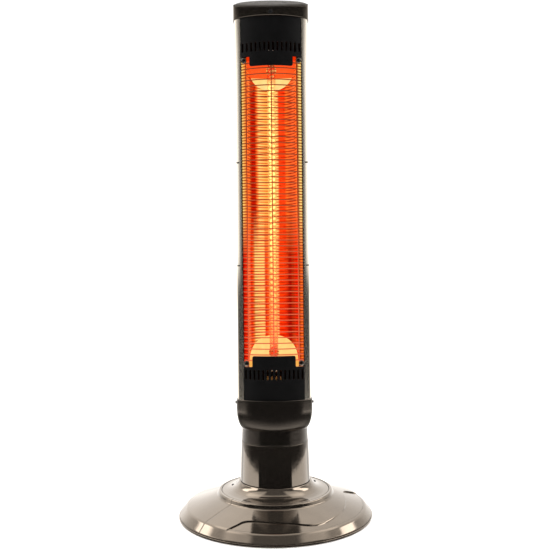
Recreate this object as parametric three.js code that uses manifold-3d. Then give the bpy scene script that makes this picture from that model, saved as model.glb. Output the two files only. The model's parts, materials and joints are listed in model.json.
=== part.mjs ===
// Electric infrared tower heater for a terrace, standing on a round weighted base.
// Millimetres, +Z up. The glowing front faces -Y. The origin is the middle of the base, on the floor.

import * as THREE from 'three';
import { mergeVertices } from 'three/addons/utils/BufferGeometryUtils.js';
import Module from 'manifold-3d';

const wasm = await Module();
wasm.setup();

// ---------------------------------------------------------------- driving dimensions

const GAP = 0.3; // air between neighbouring pieces
const RAD = Math.PI / 180;

const BASE_R = 165;
const BASE_FACETS = 40; // facets round the base and the column
const SMALL_FACETS = 16; // facets round screws, pads and bushes

const PLATE_BOTTOM_Z = 2.8;
const PLATE_TOP_Z = 4.4;
const COVER_BOTTOM_Z = 4.8;
const BEVEL_LOW = [163.9, 6.2]; // radius and height of the bevel's lower edge
const BEVEL_HIGH = [152.8, 18.2];
const COVER_FOOT = [100.5, 36]; // where the sloping top meets the raised ring
const RING_TOP_Z = 43.9;
const RING_INNER_R = 92.3;
const WAVE_STEP = 2.6; // how far the wave-shaped outer band lies below the rest
const COVER_SEAM_DEG = 42.5; // direction of the joint between the two cover halves

const DISC_R = 91.7;
const DISC_SCREW_R = 2.6;
const DISC_SCREW_PLACES = [[74, 172], [74, 22]]; // radius and direction in degrees
const COLLAR_TOP_Z = 59.3;
const BALLAST = { inner: 62, outer: 118, top: 17 };
const FOOT = { count: 6, r: 11, circleR: 140 };
const COLUMN_FOOT_R = 60;
const COLUMN_TOP_R = 57.7;
const SPIGOT_R = 57.8; // the column's foot inside the disc's collar
const COLUMN_WALL_R = 54.4; // inside radius
const SWIVEL_Z = 127.6; // top of the fixed column
const GLAND = { r: 5.6, bore: 4.2, z: 11.6, inner: 139, outer: 162.6 }; // its axis runs along +Y
const SWITCH_PLACE = [131, 60]; // radius and direction in degrees

const DECK_Z = 103.3;
const DECK_T = 3;
const GEAR_Z = 109;
const GEAR_T = 4;
const GEAR_MODULE = 1.25;
const HEAD_TEETH = 36; // of the full circle the sector is cut from
const PINION_TEETH = 10;
const TURNTABLE_Z = 113.3;
const TURNTABLE_T = 4;
const TURNTABLE_R = 53.4;
const MOTOR_LOW_Z = 85;
const SPINDLE_R = 9.7;
const SPINDLE_BORE_R = 7.5;
const SPINDLE_TOP_Z = 127;

const CUP_FOOT_R = 57.1;
const CUP_WAIST_R = 56.2;
const CUP_CREASE_Z = 151; // the round part ends here
const CUP_FULL_Z = 187; // and from here up the cup follows the tower's outline
const CUP_RIM_Z = 203.5;
const CUP_SEAT_Z = 182.5; // the tower stands on this ledge inside the cup
const CUP_RIM_PROUD = 2.4;
const CUP_WALL = 5.5;

const TOWER_HALF_W = 61.5;
const TOWER_FRONT_Y = -62;
const TOWER_REAR_Y = 58;
const TOWER_WIDEST_Y = -30;
const CUP_SCREW = { y: TOWER_WIDEST_Y, z: 197, shank: 1.8, head: 3.1, headHeight: 1.8, depth: 2.6 };
const FRONT_ARC_R = 103;
const FRONT_CENTRE_Y = TOWER_FRONT_Y + FRONT_ARC_R;
const CORNER_SHARPNESS = 40;
const SHEET = 1.8; // wall of the rails and the rear shell
const RAIL_EDGE_X = 50.3;
const TOWER_FOOT_Z = 183;
const TOWER_TOP_Z = 835.7;
const SIDE_SEAM_DEG = -13;

const PANEL_HALF_W = 49.8;
const PANEL_T = 1.6;
const TAB_HALF_W = 36;
const TAB_CORNER_R = 4;
const SLOT_COUNT = 14;
const SLOT_PITCH = 7.2;
const SLOT_W = 2.8;
const TOP_PANEL = { edge: 770, tab: 754, end: TOWER_TOP_Z, slots: [778, 793] };
const BOTTOM_PANEL = { edge: 259, tab: 277, end: 184, slots: [238, 254] };

const GUARD_R = 98.2; // outer surface of the wires, about the same centre as the front
const WIRE = 1.8;
const WIRE_ROWS = 53;
const GUARD_LOW_Z = 269;
const GUARD_HIGH_Z = 761;
const FRAME_WIRE_X = 42.4;
const SCREW_X = 45.4;
const SCREW_LOW_Z = 264;
const SCREW_HIGH_Z = 765;
const WASHER_BACK_Y = -48.8;
const CLIP_Z = [426, 597];
const CLIP_X = 57;
const CLIP = { width: 4.4, depth: 1.2, height: 2.2 };

// Right half of the trough's section, from its front lip to its back.
const TROUGH = [[49.6, -38.6], [41, -44.3], [39.4, -33], [34.5, -22], [26, -13.2], [13, -7.4]];
const TROUGH_SHEET = 0.8;
const TROUGH_LOW_Z = 262;
const TROUGH_HIGH_Z = 768;
const END_PLATE = { top: [765.5, 724], bottom: [268, 308] }; // height at the front and at the back

const TUBE_Y = -32;
const TUBE_R = 7.25;
const TUBE_BORE_R = 6.05;
const TUBE_LOW_Z = 266;
const TUBE_HIGH_Z = 768;

const COLLAR_Z = 836;
const COLLAR_PROUD = 2;
const COLLAR_FRONT_Z = 848.4;
const COLLAR_SCREW = { r: 3.2, z: 841, tip: 57, head: 65 };
const LID_SLOPE = 0.437; // rise per millimetre towards the back
const LID_TILT = Math.atan(LID_SLOPE);
const LID_TOP = 3.3; // height of the lid's face above the collar's edge
const BUTTON_R = 6.2;
const BUTTON_XS = [-24, 0, 24];
const BUTTON_Y = -8;
const BUTTON_PROUD = 0.5;

// ---------------------------------------------------------------- finishes

const FINISHES = {
  gunmetal: { color: 0x6d655b, roughness: 0.15, metalness: 0.6 },
  blackGloss: { color: 0x0e0d0e, roughness: 0.2, metalness: 0 },
  blackMatte: { color: 0x131315, roughness: 0.6, metalness: 0 },
  lidGrey: { color: 0x322d27, roughness: 0.45, metalness: 0 },
  mirror: { color: 0xe8e6e2, roughness: 0.08, metalness: 1 },
  wire: { color: 0xb9b2a8, roughness: 0.3, metalness: 1 },
  steel: { color: 0x9b9a97, roughness: 0.35, metalness: 1 },
  castIron: { color: 0x3a3936, roughness: 0.8, metalness: 0.6 },
  quartz: { color: 0xfff1e2, roughness: 0.05, metalness: 0 },
  carbon: { color: 0xff7a22, roughness: 0.6, metalness: 0 },
  ceramic: { color: 0xe9e2d4, roughness: 0.5, metalness: 0 },
  acetal: { color: 0xe6e3da, roughness: 0.45, metalness: 0 },
  rubber: { color: 0x18181a, roughness: 0.9, metalness: 0 },
  board: { color: 0x1f5a35, roughness: 0.5, metalness: 0 },
};

// ---------------------------------------------------------------- geometry helpers

// Shared vertices, no collapsed triangles, faces turned outwards.
function closed(geometry) {
  const bare = geometry.clone();
  bare.deleteAttribute('normal');
  bare.deleteAttribute('uv');
  const merged = mergeVertices(bare, 1e-3);
  const place = merged.getAttribute('position');
  const corners = [0, 1, 2].map(() => new THREE.Vector3());
  const triangles = [];
  let volume = 0;
  for (let i = 0; i < merged.index.count; i += 3) {
    const [a, b, c] = [0, 1, 2].map((k) => merged.index.getX(i + k));
    if (a === b || b === c || c === a) continue;
    [a, b, c].forEach((vertex, k) => corners[k].fromBufferAttribute(place, vertex));
    volume += corners[0].dot(corners[1].clone().cross(corners[2]));
    triangles.push([a, b, c]);
  }
  merged.setIndex(triangles.flatMap(([a, b, c]) => (volume > 0 ? [a, b, c] : [a, c, b])));
  merged.computeVertexNormals();
  return merged;
}

function solid(geometry) {
  const { index, attributes } = closed(geometry);
  return new wasm.Manifold(new wasm.Mesh({
    numProp: 3,
    vertProperties: new Float32Array(attributes.position.array),
    triVerts: new Uint32Array(index.array),
  }));
}

function geometryOf(manifold) {
  const { vertProperties, triVerts } = manifold.getMesh();
  const geometry = new THREE.BufferGeometry();
  geometry.setAttribute('position', new THREE.BufferAttribute(vertProperties.slice(), 3));
  geometry.setIndex(new THREE.BufferAttribute(triVerts.slice(), 1));
  geometry.computeVertexNormals();
  return geometry;
}

function cut(body, ...tools) {
  return geometryOf(tools.reduce((left, tool) => left.subtract(solid(tool)), solid(body)));
}

function join(body, ...others) {
  return geometryOf(others.reduce((sum, other) => sum.add(solid(other)), solid(body)));
}

function common(body, tool) {
  return geometryOf(solid(body).intersect(solid(tool)));
}

// A profile of [radius, height] points, closed on itself, turned about Z.
function lathe(profile, facets = SMALL_FACETS) {
  const points = [...profile, profile[0]].map(([r, z]) => new THREE.Vector2(r, z));
  return closed(new THREE.LatheGeometry(points, facets).rotateX(Math.PI / 2));
}

function ring(innerR, outerR, low, high, facets = SMALL_FACETS) {
  return lathe([[innerR, low], [outerR, low], [outerR, high], [innerR, high]], facets);
}

function rod(radius, low, high, facets = SMALL_FACETS) {
  return ring(0, radius, low, high, facets);
}

function box(low, high) {
  const size = high.map((value, k) => value - low[k]);
  const middle = high.map((value, k) => (value + low[k]) / 2);
  return new THREE.BoxGeometry(...size).translate(...middle);
}

function outlineShape(points) {
  return new THREE.Shape(points.map(([x, y]) => new THREE.Vector2(x, y)));
}

// An outline drawn from above, standing between two heights.
function prism(shape, low, high) {
  const settings = { depth: high - low, bevelEnabled: false, curveSegments: 6 };
  return new THREE.ExtrudeGeometry(shape, settings).translate(0, 0, low);
}

// An outline drawn as seen from the front (X right, Z up), reaching from front to back.
function facing(shape, front, back) {
  return prism(shape, 0, back - front).rotateX(Math.PI / 2).translate(0, back, 0);
}

// A skin over rings of equally many points. It wraps back to the first ring, or is capped at both ends.
function loft(rings, wraps = false) {
  const count = rings[0].length;
  const positions = rings.flat().flat();
  const index = [];
  const spans = wraps ? rings.length : rings.length - 1;
  for (let r = 0; r < spans; r += 1) {
    const next = (r + 1) % rings.length;
    for (let i = 0; i < count; i += 1) {
      const j = (i + 1) % count;
      const [a, b, c, d] = [r * count + i, r * count + j, next * count + j, next * count + i];
      index.push(a, b, c, a, c, d);
    }
  }
  if (!wraps) {
    const last = (rings.length - 1) * count;
    for (let i = 1; i < count - 1; i += 1) {
      index.push(0, i + 1, i, last, last + i, last + i + 1);
    }
  }
  const geometry = new THREE.BufferGeometry();
  geometry.setAttribute('position', new THREE.Float32BufferAttribute(positions, 3));
  geometry.setIndex(index);
  return closed(geometry);
}

// A strip of sheet along a path, its thickness laid on the left of the path's direction.
function sheet(path, thickness) {
  const normals = path.slice(1).map(([x, y], k) => {
    const [dx, dy] = [x - path[k][0], y - path[k][1]];
    const length = Math.hypot(dx, dy);
    return [-dy / length, dx / length];
  });
  const far = path.map(([x, y], k) => {
    const before = normals[Math.max(k - 1, 0)];
    const after = normals[Math.min(k, normals.length - 1)];
    const mitre = thickness / (1 + before[0] * after[0] + before[1] * after[1]);
    return [x + (before[0] + after[0]) * mitre, y + (before[1] + after[1]) * mitre];
  });
  return outlineShape([...path, ...far.reverse()]);
}

const mirrored = (points) => points.map(([x, y]) => [-x, y]).reverse();

function piece(name, geometry, finish, place = [0, 0, 0]) {
  const mesh = new THREE.Mesh(geometry, new THREE.MeshStandardMaterial(FINISHES[finish]));
  mesh.name = name;
  mesh.position.set(...place);
  return mesh;
}

// ---------------------------------------------------------------- outline of the tower

// The tower seen from above: a shallow arc in front, half an ellipse behind, soft corners between.
function towerRadius(angle) {
  const [c, s] = [Math.cos(angle), Math.sin(angle)];
  const along = FRONT_CENTRE_Y * s;
  const front = along + Math.sqrt(along ** 2 - FRONT_CENTRE_Y ** 2 + FRONT_ARC_R ** 2);
  const depth = TOWER_REAR_Y - TOWER_WIDEST_Y;
  const square = (c / TOWER_HALF_W) ** 2 + (s / depth) ** 2;
  const linear = (TOWER_WIDEST_Y * s) / depth ** 2;
  const rest = (TOWER_WIDEST_Y / depth) ** 2 - 1;
  const rear = (linear + Math.sqrt(linear ** 2 - square * rest)) / square;
  return (front ** -CORNER_SHARPNESS + rear ** -CORNER_SHARPNESS) ** (-1 / CORNER_SHARPNESS);
}

// Directions of the outline's points in degrees: close together round the corners, wide apart elsewhere.
function outlineAngles() {
  const right = [];
  for (let a = -90; a < 90; a += Math.abs(a + 40) <= 15 ? 3 : 9) {
    right.push(a);
  }
  const left = right.slice(1).reverse().map((a) => 180 - a);
  return [...right, 90, ...left];
}

const ANGLES = outlineAngles();

function polar(radius, degrees) {
  return [radius * Math.cos(degrees * RAD), radius * Math.sin(degrees * RAD)];
}

function towerPoint(degrees, offset) {
  return polar(towerRadius(degrees * RAD) + offset, degrees);
}

// The tower's outline, offset outwards, at a height that may depend on the point.
function towerRing(offset, heightAt) {
  return ANGLES.map((a) => {
    const [x, y] = towerPoint(a, offset);
    return [x, y, heightAt(y)];
  });
}

function wallPoints(fromDeg, toDeg, offset) {
  const between = ANGLES.filter((a) => a > fromDeg && a < toDeg);
  return [fromDeg, ...between, toDeg].map((a) => towerPoint(a, offset));
}

const frontY = (x, radius) => FRONT_CENTRE_Y - Math.sqrt(radius ** 2 - x ** 2);

// ---------------------------------------------------------------- base

function basePlate() {
  const rimInner = BASE_R - 3;
  return lathe([
    [0, PLATE_BOTTOM_Z], [rimInner, PLATE_BOTTOM_Z], [rimInner, 0.8], [BASE_R, 0.8],
    [BASE_R, PLATE_TOP_Z], [0, PLATE_TOP_Z],
  ], BASE_FACETS);
}

function coverBody() {
  return lathe([
    [163.4, COVER_BOTTOM_Z], BEVEL_LOW, BEVEL_HIGH, [BEVEL_HIGH[0] - 2.2, BEVEL_HIGH[1] + 1.6], COVER_FOOT,
    [98.6, COVER_FOOT[1] + 1.6], [97.2, 42.6], [95.8, RING_TOP_Z], [RING_INNER_R, RING_TOP_Z],
    [RING_INNER_R, 31.4], [98, 31.4], [149.4, 14.6], [160, COVER_BOTTOM_Z],
  ], BASE_FACETS);
}

// Everything below the face of the lowered band.
function belowBand() {
  const slope = (BEVEL_HIGH[1] - BEVEL_LOW[1]) / (BEVEL_LOW[0] - BEVEL_HIGH[0]);
  const [edgeR, edgeZ] = [BEVEL_HIGH[0] + WAVE_STEP / slope, BEVEL_HIGH[1] - WAVE_STEP];
  const top = COVER_FOOT[1] - WAVE_STEP;
  return lathe([
    [0, -10], [260, -10], [260, edgeZ], [edgeR, edgeZ], [edgeR - 2.2, edgeZ + 1.6],
    [COVER_FOOT[0], top], [0, top],
  ], BASE_FACETS);
}

// The S-shaped edge of the lowered band, from the bevel at the front left round to the right.
function waveRegion() {
  const edge = [
    [-120, 156], [-116, 140], [-111, 128], [-95, 127], [-80, 131], [-64, 141], [-49, 137],
    [-30, 129], [-15, 122], [0, 119], [12, 122], [17, 135], [19, 156],
  ];
  const curve = new THREE.SplineCurve(edge.map(([a, r]) => new THREE.Vector2(...polar(r, a))));
  const outer = [20, -15, -50, -85, -121].map((a) => new THREE.Vector2(...polar(BASE_R + 30, a)));
  return new THREE.Shape([...curve.getPoints(36), ...outer]);
}

function baseCover() {
  const band = prism(waveRegion(), 0, 60);
  return cut(coverBody(), cut(band, belowBand()));
}

// Half of the cover, on one side of the seam that runs through the middle of the base.
function coverHalf(cover, side) {
  const reach = BASE_R + 10;
  const near = side > 0 ? GAP / 2 : -reach;
  const far = side > 0 ? reach : -GAP / 2;
  const half = box([-reach, near, 0], [reach, far, 60]).rotateZ(COVER_SEAM_DEG * RAD);
  return common(cover, half);
}

const discScrewPoints = () => DISC_SCREW_PLACES.map((place) => polar(...place));

function baseDisc() {
  const disc = lathe([
    [DISC_R, 34], [DISC_R, 43], [90.9, 43.8], [83, 44.4], [75, 46.4], [69, 50], [64.6, 55],
    [62.2, COLLAR_TOP_Z], [SPIGOT_R + GAP, COLLAR_TOP_Z], [SPIGOT_R + GAP, 40.8], [88.7, 40.8], [88.7, 34],
  ], BASE_FACETS);
  const hole = rod(DISC_SCREW_R + GAP, 38, 60);
  return cut(disc, ...discScrewPoints().map(([x, y]) => hole.clone().translate(x, y, 0)));
}

function column() {
  return lathe([
    [SPIGOT_R, PLATE_TOP_Z + GAP], [SPIGOT_R, COLLAR_TOP_Z + GAP], [COLUMN_FOOT_R, COLLAR_TOP_Z + GAP],
    [COLUMN_TOP_R, SWIVEL_Z - 0.6], [COLUMN_TOP_R - 0.6, SWIVEL_Z], [COLUMN_WALL_R, SWIVEL_Z],
    [COLUMN_WALL_R, DECK_Z - GAP], [51, DECK_Z - GAP], [51, 99], [53.8, 95], [53.8, PLATE_TOP_Z + GAP],
  ], BASE_FACETS);
}

function cableGland() {
  const { r, bore, z, inner, outer } = GLAND;
  const flanged = [[bore, 0], [r + 1, 0], [r + 1, 2.5], [r, 2.5], [r, outer - inner], [bore, outer - inner]];
  return lathe(flanged).rotateX(-Math.PI / 2).translate(0, inner, z);
}

function glandHole() {
  return rod(GLAND.r + GAP, 0, 40).rotateX(-Math.PI / 2).translate(0, GLAND.inner + 4, GLAND.z);
}

function glandRecess() {
  return rod(GLAND.r + 1 + GAP, 0, 16).rotateX(-Math.PI / 2).translate(0, GLAND.inner - 12, GLAND.z);
}

function tipOverSwitch() {
  const body = box([-9, -6, 0], [9, 6, 11]);
  const ears = box([-15, -6, 0], [15, 6, 2.2]);
  const holes = [-12, 12].map((x) => rod(1.7, -1, 4).translate(x, 0, 0));
  return cut(join(body, ears), ...holes);
}

// ---------------------------------------------------------------- swivel drive

const GEAR_DISTANCE = (GEAR_MODULE * (HEAD_TEETH + PINION_TEETH)) / 2;
const involute = (angle) => Math.tan(angle) - angle;

// One side of a tooth as [radius, half angle] points from root to tip.
function toothFlank(teeth) {
  const pitchR = (GEAR_MODULE * teeth) / 2;
  const pressure = 20 * RAD;
  const baseR = pitchR * Math.cos(pressure);
  const halfAtPitch = (Math.PI / (2 * teeth)) * 0.78;
  const radii = [pitchR - 1.1 * GEAR_MODULE, pitchR - 0.3 * GEAR_MODULE, pitchR, pitchR + 0.75 * GEAR_MODULE];
  return radii.map((r) => {
    const slant = Math.acos(Math.min(1, baseR / r));
    return [r, halfAtPitch + involute(pressure) - involute(slant)];
  });
}

function toothPoints(teeth, centre) {
  const flank = toothFlank(teeth);
  const rising = flank.map(([r, half]) => polar(r, (centre - half) / RAD));
  const falling = flank.map(([r, half]) => polar(r, (centre + half) / RAD)).reverse();
  return [...rising, ...falling];
}

function pinion() {
  const pitch = (2 * Math.PI) / PINION_TEETH;
  const gapFacesHead = -Math.PI / 2 + pitch / 2;
  const points = [];
  for (let k = 0; k < PINION_TEETH; k += 1) {
    points.push(...toothPoints(PINION_TEETH, gapFacesHead + k * pitch));
  }
  const gear = prism(outlineShape(points), GEAR_Z, GEAR_Z + GEAR_T);
  return join(gear, rod(3, 95.4, GEAR_Z + 0.5));
}

function headGear() {
  const pitch = (2 * Math.PI) / HEAD_TEETH;
  const points = [];
  for (let k = -5; k <= 5; k += 1) {
    points.push(...toothPoints(HEAD_TEETH, Math.PI / 2 + k * pitch));
  }
  for (let a = 160; a <= 380; a += 20) {
    points.push(polar(18, a));
  }
  const sector = prism(outlineShape(points), GEAR_Z, GEAR_Z + GEAR_T);
  return cut(sector, rod(SPINDLE_R + 2.3, GEAR_Z - 1, GEAR_Z + GEAR_T + 1));
}

function swivelDeck() {
  const plate = rod(COLUMN_WALL_R - GAP, DECK_Z, DECK_Z + DECK_T, BASE_FACETS);
  const bore = rod(SPINDLE_BORE_R, DECK_Z - 1, DECK_Z + DECK_T + 1);
  const shaftHole = rod(4.3, DECK_Z - 1, DECK_Z + DECK_T + 1).translate(0, GEAR_DISTANCE, 0);
  return cut(plate, bore, shaftHole);
}

function swivelMotor() {
  const low = MOTOR_LOW_Z;
  const high = DECK_Z - GAP;
  return lathe([[0, low], [20, low], [21, low + 1], [21, high], [3.4, high], [3.4, 95], [0, 95]], 20);
}

function pivotSpindle() {
  const foot = DECK_Z + DECK_T + GAP;
  return lathe([
    [SPINDLE_BORE_R, foot], [15, foot], [15, foot + 2], [SPINDLE_R, foot + 2],
    [SPINDLE_R, SPINDLE_TOP_Z], [SPINDLE_BORE_R, SPINDLE_TOP_Z],
  ]);
}

function spindleNut() {
  const low = TURNTABLE_Z + TURNTABLE_T + GAP;
  const hexagon = rod(16, low, low + 5.5, 6);
  return cut(hexagon, rod(SPINDLE_R + GAP, low - 1, low + 7));
}

// ---------------------------------------------------------------- neck cup

// A quarter of an ellipse: square to the axis at the crease, upright where the tower's outline is reached.
function cupBlend(z) {
  const drop = Math.min(Math.max((CUP_FULL_Z - z) / (CUP_FULL_Z - CUP_CREASE_Z), 0), 1);
  return Math.sqrt(1 - drop ** 2);
}

// The cup's cross-section at a height: round at the waist, the tower's outline at the rim.
function cupRing(z, inwards = 0) {
  const t = cupBlend(z);
  return ANGLES.map((a) => {
    const r = (1 - t) * CUP_WAIST_R + t * (towerRadius(a * RAD) + CUP_RIM_PROUD) - inwards;
    return [...polar(r, a), z];
  });
}

const roundRing = (radius, z) => ANGLES.map((a) => [...polar(radius, a), z]);

function neckCup() {
  const foot = TURNTABLE_Z + TURNTABLE_T + GAP;
  const start = SWIVEL_Z + 0.4;
  const outsideLevels = [CUP_CREASE_Z, 151.6, 153.5, 157, 162, 169, 177, CUP_FULL_Z, CUP_RIM_Z - 0.6];
  const outside = outsideLevels.map((z) => cupRing(z));
  const inside = [172, 163, 153.5].map((z) => cupRing(z, CUP_WALL));
  const cup = loft([
    roundRing(TURNTABLE_R, foot), roundRing(TURNTABLE_R, start),
    roundRing(CUP_FOOT_R - 0.7, start), roundRing(CUP_FOOT_R, start + 0.8),
    ...outside, towerRing(CUP_RIM_PROUD - 0.6, () => CUP_RIM_Z), towerRing(0.5, () => CUP_RIM_Z),
    towerRing(0.5, () => CUP_SEAT_Z), towerRing(-2.6, () => CUP_SEAT_Z),
    ...inside, roundRing(49.8, 132), roundRing(49.8, foot),
  ], true);
  const hole = rod(CUP_SCREW.shank + GAP, 55, 75).rotateY(Math.PI / 2);
  hole.translate(0, CUP_SCREW.y, CUP_SCREW.z);
  const otherHole = hole.clone().rotateZ(Math.PI).translate(0, 2 * CUP_SCREW.y, 0);
  return cut(cup, hole, otherHole);
}

function cupScrew() {
  const { shank, head, headHeight, depth } = CUP_SCREW;
  const seat = TOWER_HALF_W + CUP_RIM_PROUD + GAP;
  const [tip, top] = [seat - depth, seat + headHeight];
  const profile = [[0, tip], [shank, tip], [shank, seat], [head, seat], [head - 0.7, top], [0, top]];
  return lathe(profile, 12).rotateY(Math.PI / 2);
}

// ---------------------------------------------------------------- tower casing

function rearShell() {
  const [from, to] = [SIDE_SEAM_DEG + 0.3, 180 - SIDE_SEAM_DEG - 0.3];
  const shape = outlineShape([...wallPoints(from, to, 0), ...wallPoints(from, to, -SHEET).reverse()]);
  return prism(shape, TOWER_FOOT_Z, TOWER_TOP_Z);
}

function railOutline() {
  const edgeDeg = Math.atan2(frontY(RAIL_EDGE_X, FRONT_ARC_R), RAIL_EDGE_X) / RAD;
  const flangeX = RAIL_EDGE_X + 1.6;
  return [
    ...wallPoints(edgeDeg, SIDE_SEAM_DEG, 0),
    ...wallPoints(edgeDeg + 3.5, SIDE_SEAM_DEG, -SHEET).reverse(),
    [flangeX, -46.6], [flangeX, -40], [RAIL_EDGE_X, -40],
  ];
}

function rail(side) {
  const outline = railOutline();
  return prism(outlineShape(side > 0 ? outline : mirrored(outline)), TOWER_FOOT_Z, TOWER_TOP_Z);
}

// A curved plate between two heights, following the front of the tower.
function frontPlate(low, high) {
  const outerR = FRONT_ARC_R - GAP;
  const reach = Math.asin(PANEL_HALF_W / outerR);
  const steps = 14;
  const arc = (radius) => Array.from({ length: steps + 1 }, (_, k) => {
    const turn = -reach + (2 * reach * k) / steps;
    return [radius * Math.sin(turn), FRONT_CENTRE_Y - radius * Math.cos(turn)];
  });
  return prism(outlineShape([...arc(outerR), ...arc(outerR - PANEL_T).reverse()]), low, high);
}

// What is cut away beside the tab, with a round inside corner where the tab ends.
function tabNotch({ edge, tab }, side) {
  const outward = Math.sign(tab - edge);
  const shape = new THREE.Shape();
  shape.moveTo(side * 60, edge);
  shape.lineTo(side * TAB_HALF_W, edge);
  shape.lineTo(side * TAB_HALF_W, tab - outward * TAB_CORNER_R);
  shape.quadraticCurveTo(side * TAB_HALF_W, tab, side * (TAB_HALF_W - TAB_CORNER_R), tab);
  shape.lineTo(side * (TAB_HALF_W - TAB_CORNER_R), tab + outward * 5);
  shape.lineTo(side * 60, tab + outward * 5);
  return facing(shape, -70, -20);
}

function frontPanel(panel) {
  const heights = [panel.tab, panel.end];
  const plate = frontPlate(Math.min(...heights), Math.max(...heights));
  const slots = Array.from({ length: SLOT_COUNT }, (_, k) => {
    const x = (k - (SLOT_COUNT - 1) / 2) * SLOT_PITCH;
    return box([x - SLOT_W / 2, -70, panel.slots[0]], [x + SLOT_W / 2, -20, panel.slots[1]]);
  });
  return cut(plate, tabNotch(panel, 1), tabNotch(panel, -1), ...slots);
}

// ---------------------------------------------------------------- heater unit

const backwards = (points) => [...points].reverse();

function reflector() {
  const path = [...TROUGH, ...mirrored(TROUGH)];
  return prism(sheet(backwards(path), TROUGH_SHEET), TROUGH_LOW_Z, TROUGH_HIGH_Z);
}

// A plate that closes one end of the trough, leaning back towards the middle of the tube.
function endPlate([frontZ, backZ]) {
  const inside = TROUGH.slice(1).map(([x, y]) => [x - 0.6, y - 0.6]);
  const outline = [...inside, ...mirrored(inside)];
  const [frontEdge, backEdge] = [TROUGH[1][1], TROUGH.at(-1)[1]];
  const rise = (backZ - frontZ) / (backEdge - frontEdge);
  const away = frontZ > backZ ? 0.9 : -0.9;
  const level = (lift) => outline.map(([x, y]) => [x, y, frontZ + rise * (y - frontEdge) + lift]);
  const hole = rod(TUBE_R + 1.1, Math.min(frontZ, backZ) - 5, Math.max(frontZ, backZ) + 5);
  return cut(loft([level(0), level(away)]), hole.translate(0, TUBE_Y, 0));
}

function heatShield() {
  const half = [[46, -30], [40, -8], [28, 1.5]];
  const path = [...half, ...mirrored(half)];
  return prism(sheet(backwards(path), TROUGH_SHEET), TROUGH_LOW_Z, TROUGH_HIGH_Z);
}

function tubeCap(mouth, far) {
  const into = Math.sign(far - mouth);
  const floor = mouth + into * 4.4;
  const bore = TUBE_R + GAP;
  const rim = bore + 1.75;
  return lathe([[0, floor], [bore, floor], [bore, mouth], [rim, mouth], [rim, far], [0, far]]);
}

// The flat carbon ribbon inside the tube.
function filament() {
  return box([-2.5, -0.4, TUBE_LOW_Z + 6], [2.5, 0.4, TUBE_HIGH_Z - 6]);
}

// Wires along the front arc, tied together by upright wires in the middle and near both ends.
function guard() {
  const uprights = [-FRAME_WIRE_X, 0, FRAME_WIRE_X];
  const between = [-49.4, -21, 21, 49.4];
  const uprightEdges = uprights.flatMap((x) => [x - WIRE / 2, x + WIRE / 2]);
  const columns = [...between, ...uprightEdges].sort((a, b) => a - b);
  const pitch = (GUARD_HIGH_Z - GUARD_LOW_Z) / (WIRE_ROWS - 1);
  const rows = [GUARD_LOW_Z - 9];
  for (let k = 0; k < WIRE_ROWS; k += 1) {
    const z = GUARD_LOW_Z + k * pitch;
    rows.push(z - WIRE / 2, z + WIRE / 2);
  }
  rows.push(GUARD_HIGH_Z + 9);

  const isUpright = (i) => uprights.some((x) => columns[i] < x && x < columns[i + 1]);
  const filled = (i, j) => {
    const inside = i >= 0 && i < columns.length - 1 && j >= 0 && j < rows.length - 1;
    return inside && (j % 2 === 1 || isUpright(i));
  };
  const corner = (i, j, behind) => {
    const turn = Math.asin(columns[i] / GUARD_R);
    const radius = GUARD_R - behind * WIRE;
    return [radius * Math.sin(turn), FRONT_CENTRE_Y - radius * Math.cos(turn), rows[j]];
  };
  const positions = [];
  const face = (...corners) => {
    const [a, b, c, d] = corners.map((place) => corner(...place));
    positions.push(...a, ...b, ...c, ...a, ...c, ...d);
  };
  for (let i = 0; i < columns.length - 1; i += 1) {
    for (let j = 0; j < rows.length - 1; j += 1) {
      if (!filled(i, j)) continue;
      const [right, up] = [i + 1, j + 1];
      face([i, j, 0], [right, j, 0], [right, up, 0], [i, up, 0]);
      face([right, j, 1], [i, j, 1], [i, up, 1], [right, up, 1]);
      if (!filled(i, up)) face([i, up, 0], [right, up, 0], [right, up, 1], [i, up, 1]);
      if (!filled(i, j - 1)) face([i, j, 1], [right, j, 1], [right, j, 0], [i, j, 0]);
      if (!filled(right, j)) face([right, j, 0], [right, j, 1], [right, up, 1], [right, up, 0]);
      if (!filled(i - 1, j)) face([i, j, 1], [i, j, 0], [i, up, 0], [i, up, 1]);
    }
  }
  const geometry = new THREE.BufferGeometry();
  geometry.setAttribute('position', new THREE.Float32BufferAttribute(positions, 3));
  return closed(geometry);
}

// Round-headed screw on a wide washer, its axis along -Y, the washer's back at y = 0.
function guardScrew() {
  const profile = [[0, -6], [1.4, -6], [1.4, 0], [4.6, 0], [4.6, 1], [2.8, 1], [2.3, 3], [0, 3]];
  return lathe(profile, 12).rotateX(Math.PI / 2);
}

// ---------------------------------------------------------------- top

const lidPlane = (y) => COLLAR_FRONT_Z + LID_SLOPE * (y - (TOWER_FRONT_Y - COLLAR_PROUD));

function topCollar() {
  const ringBody = loft([
    towerRing(COLLAR_PROUD, () => COLLAR_Z), towerRing(COLLAR_PROUD, lidPlane),
    towerRing(-1.2, lidPlane), towerRing(-1.2, () => COLLAR_Z),
  ], true);
  const hole = rod(COLLAR_SCREW.r + GAP, 55, 70).rotateX(Math.PI / 2);
  return cut(ringBody, hole.translate(0, 0, COLLAR_SCREW.z));
}

function collarScrew() {
  const { r, tip, head } = COLLAR_SCREW;
  return rod(r, tip, head, 12).rotateX(Math.PI / 2);
}

function topLid() {
  const plate = loft([
    towerRing(COLLAR_PROUD - 0.2, (y) => lidPlane(y) + GAP),
    towerRing(-4.5, (y) => lidPlane(y) + LID_TOP),
  ]);
  return cut(plate, ...BUTTON_XS.map((x) => onLid(rod(BUTTON_R + GAP, -20, 20), x)));
}

// Places something built about the origin on the lid's face, its Z axis square to the face.
function onLid(geometry, x) {
  return geometry.rotateX(LID_TILT).translate(x, BUTTON_Y, lidPlane(BUTTON_Y) + LID_TOP);
}

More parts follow.
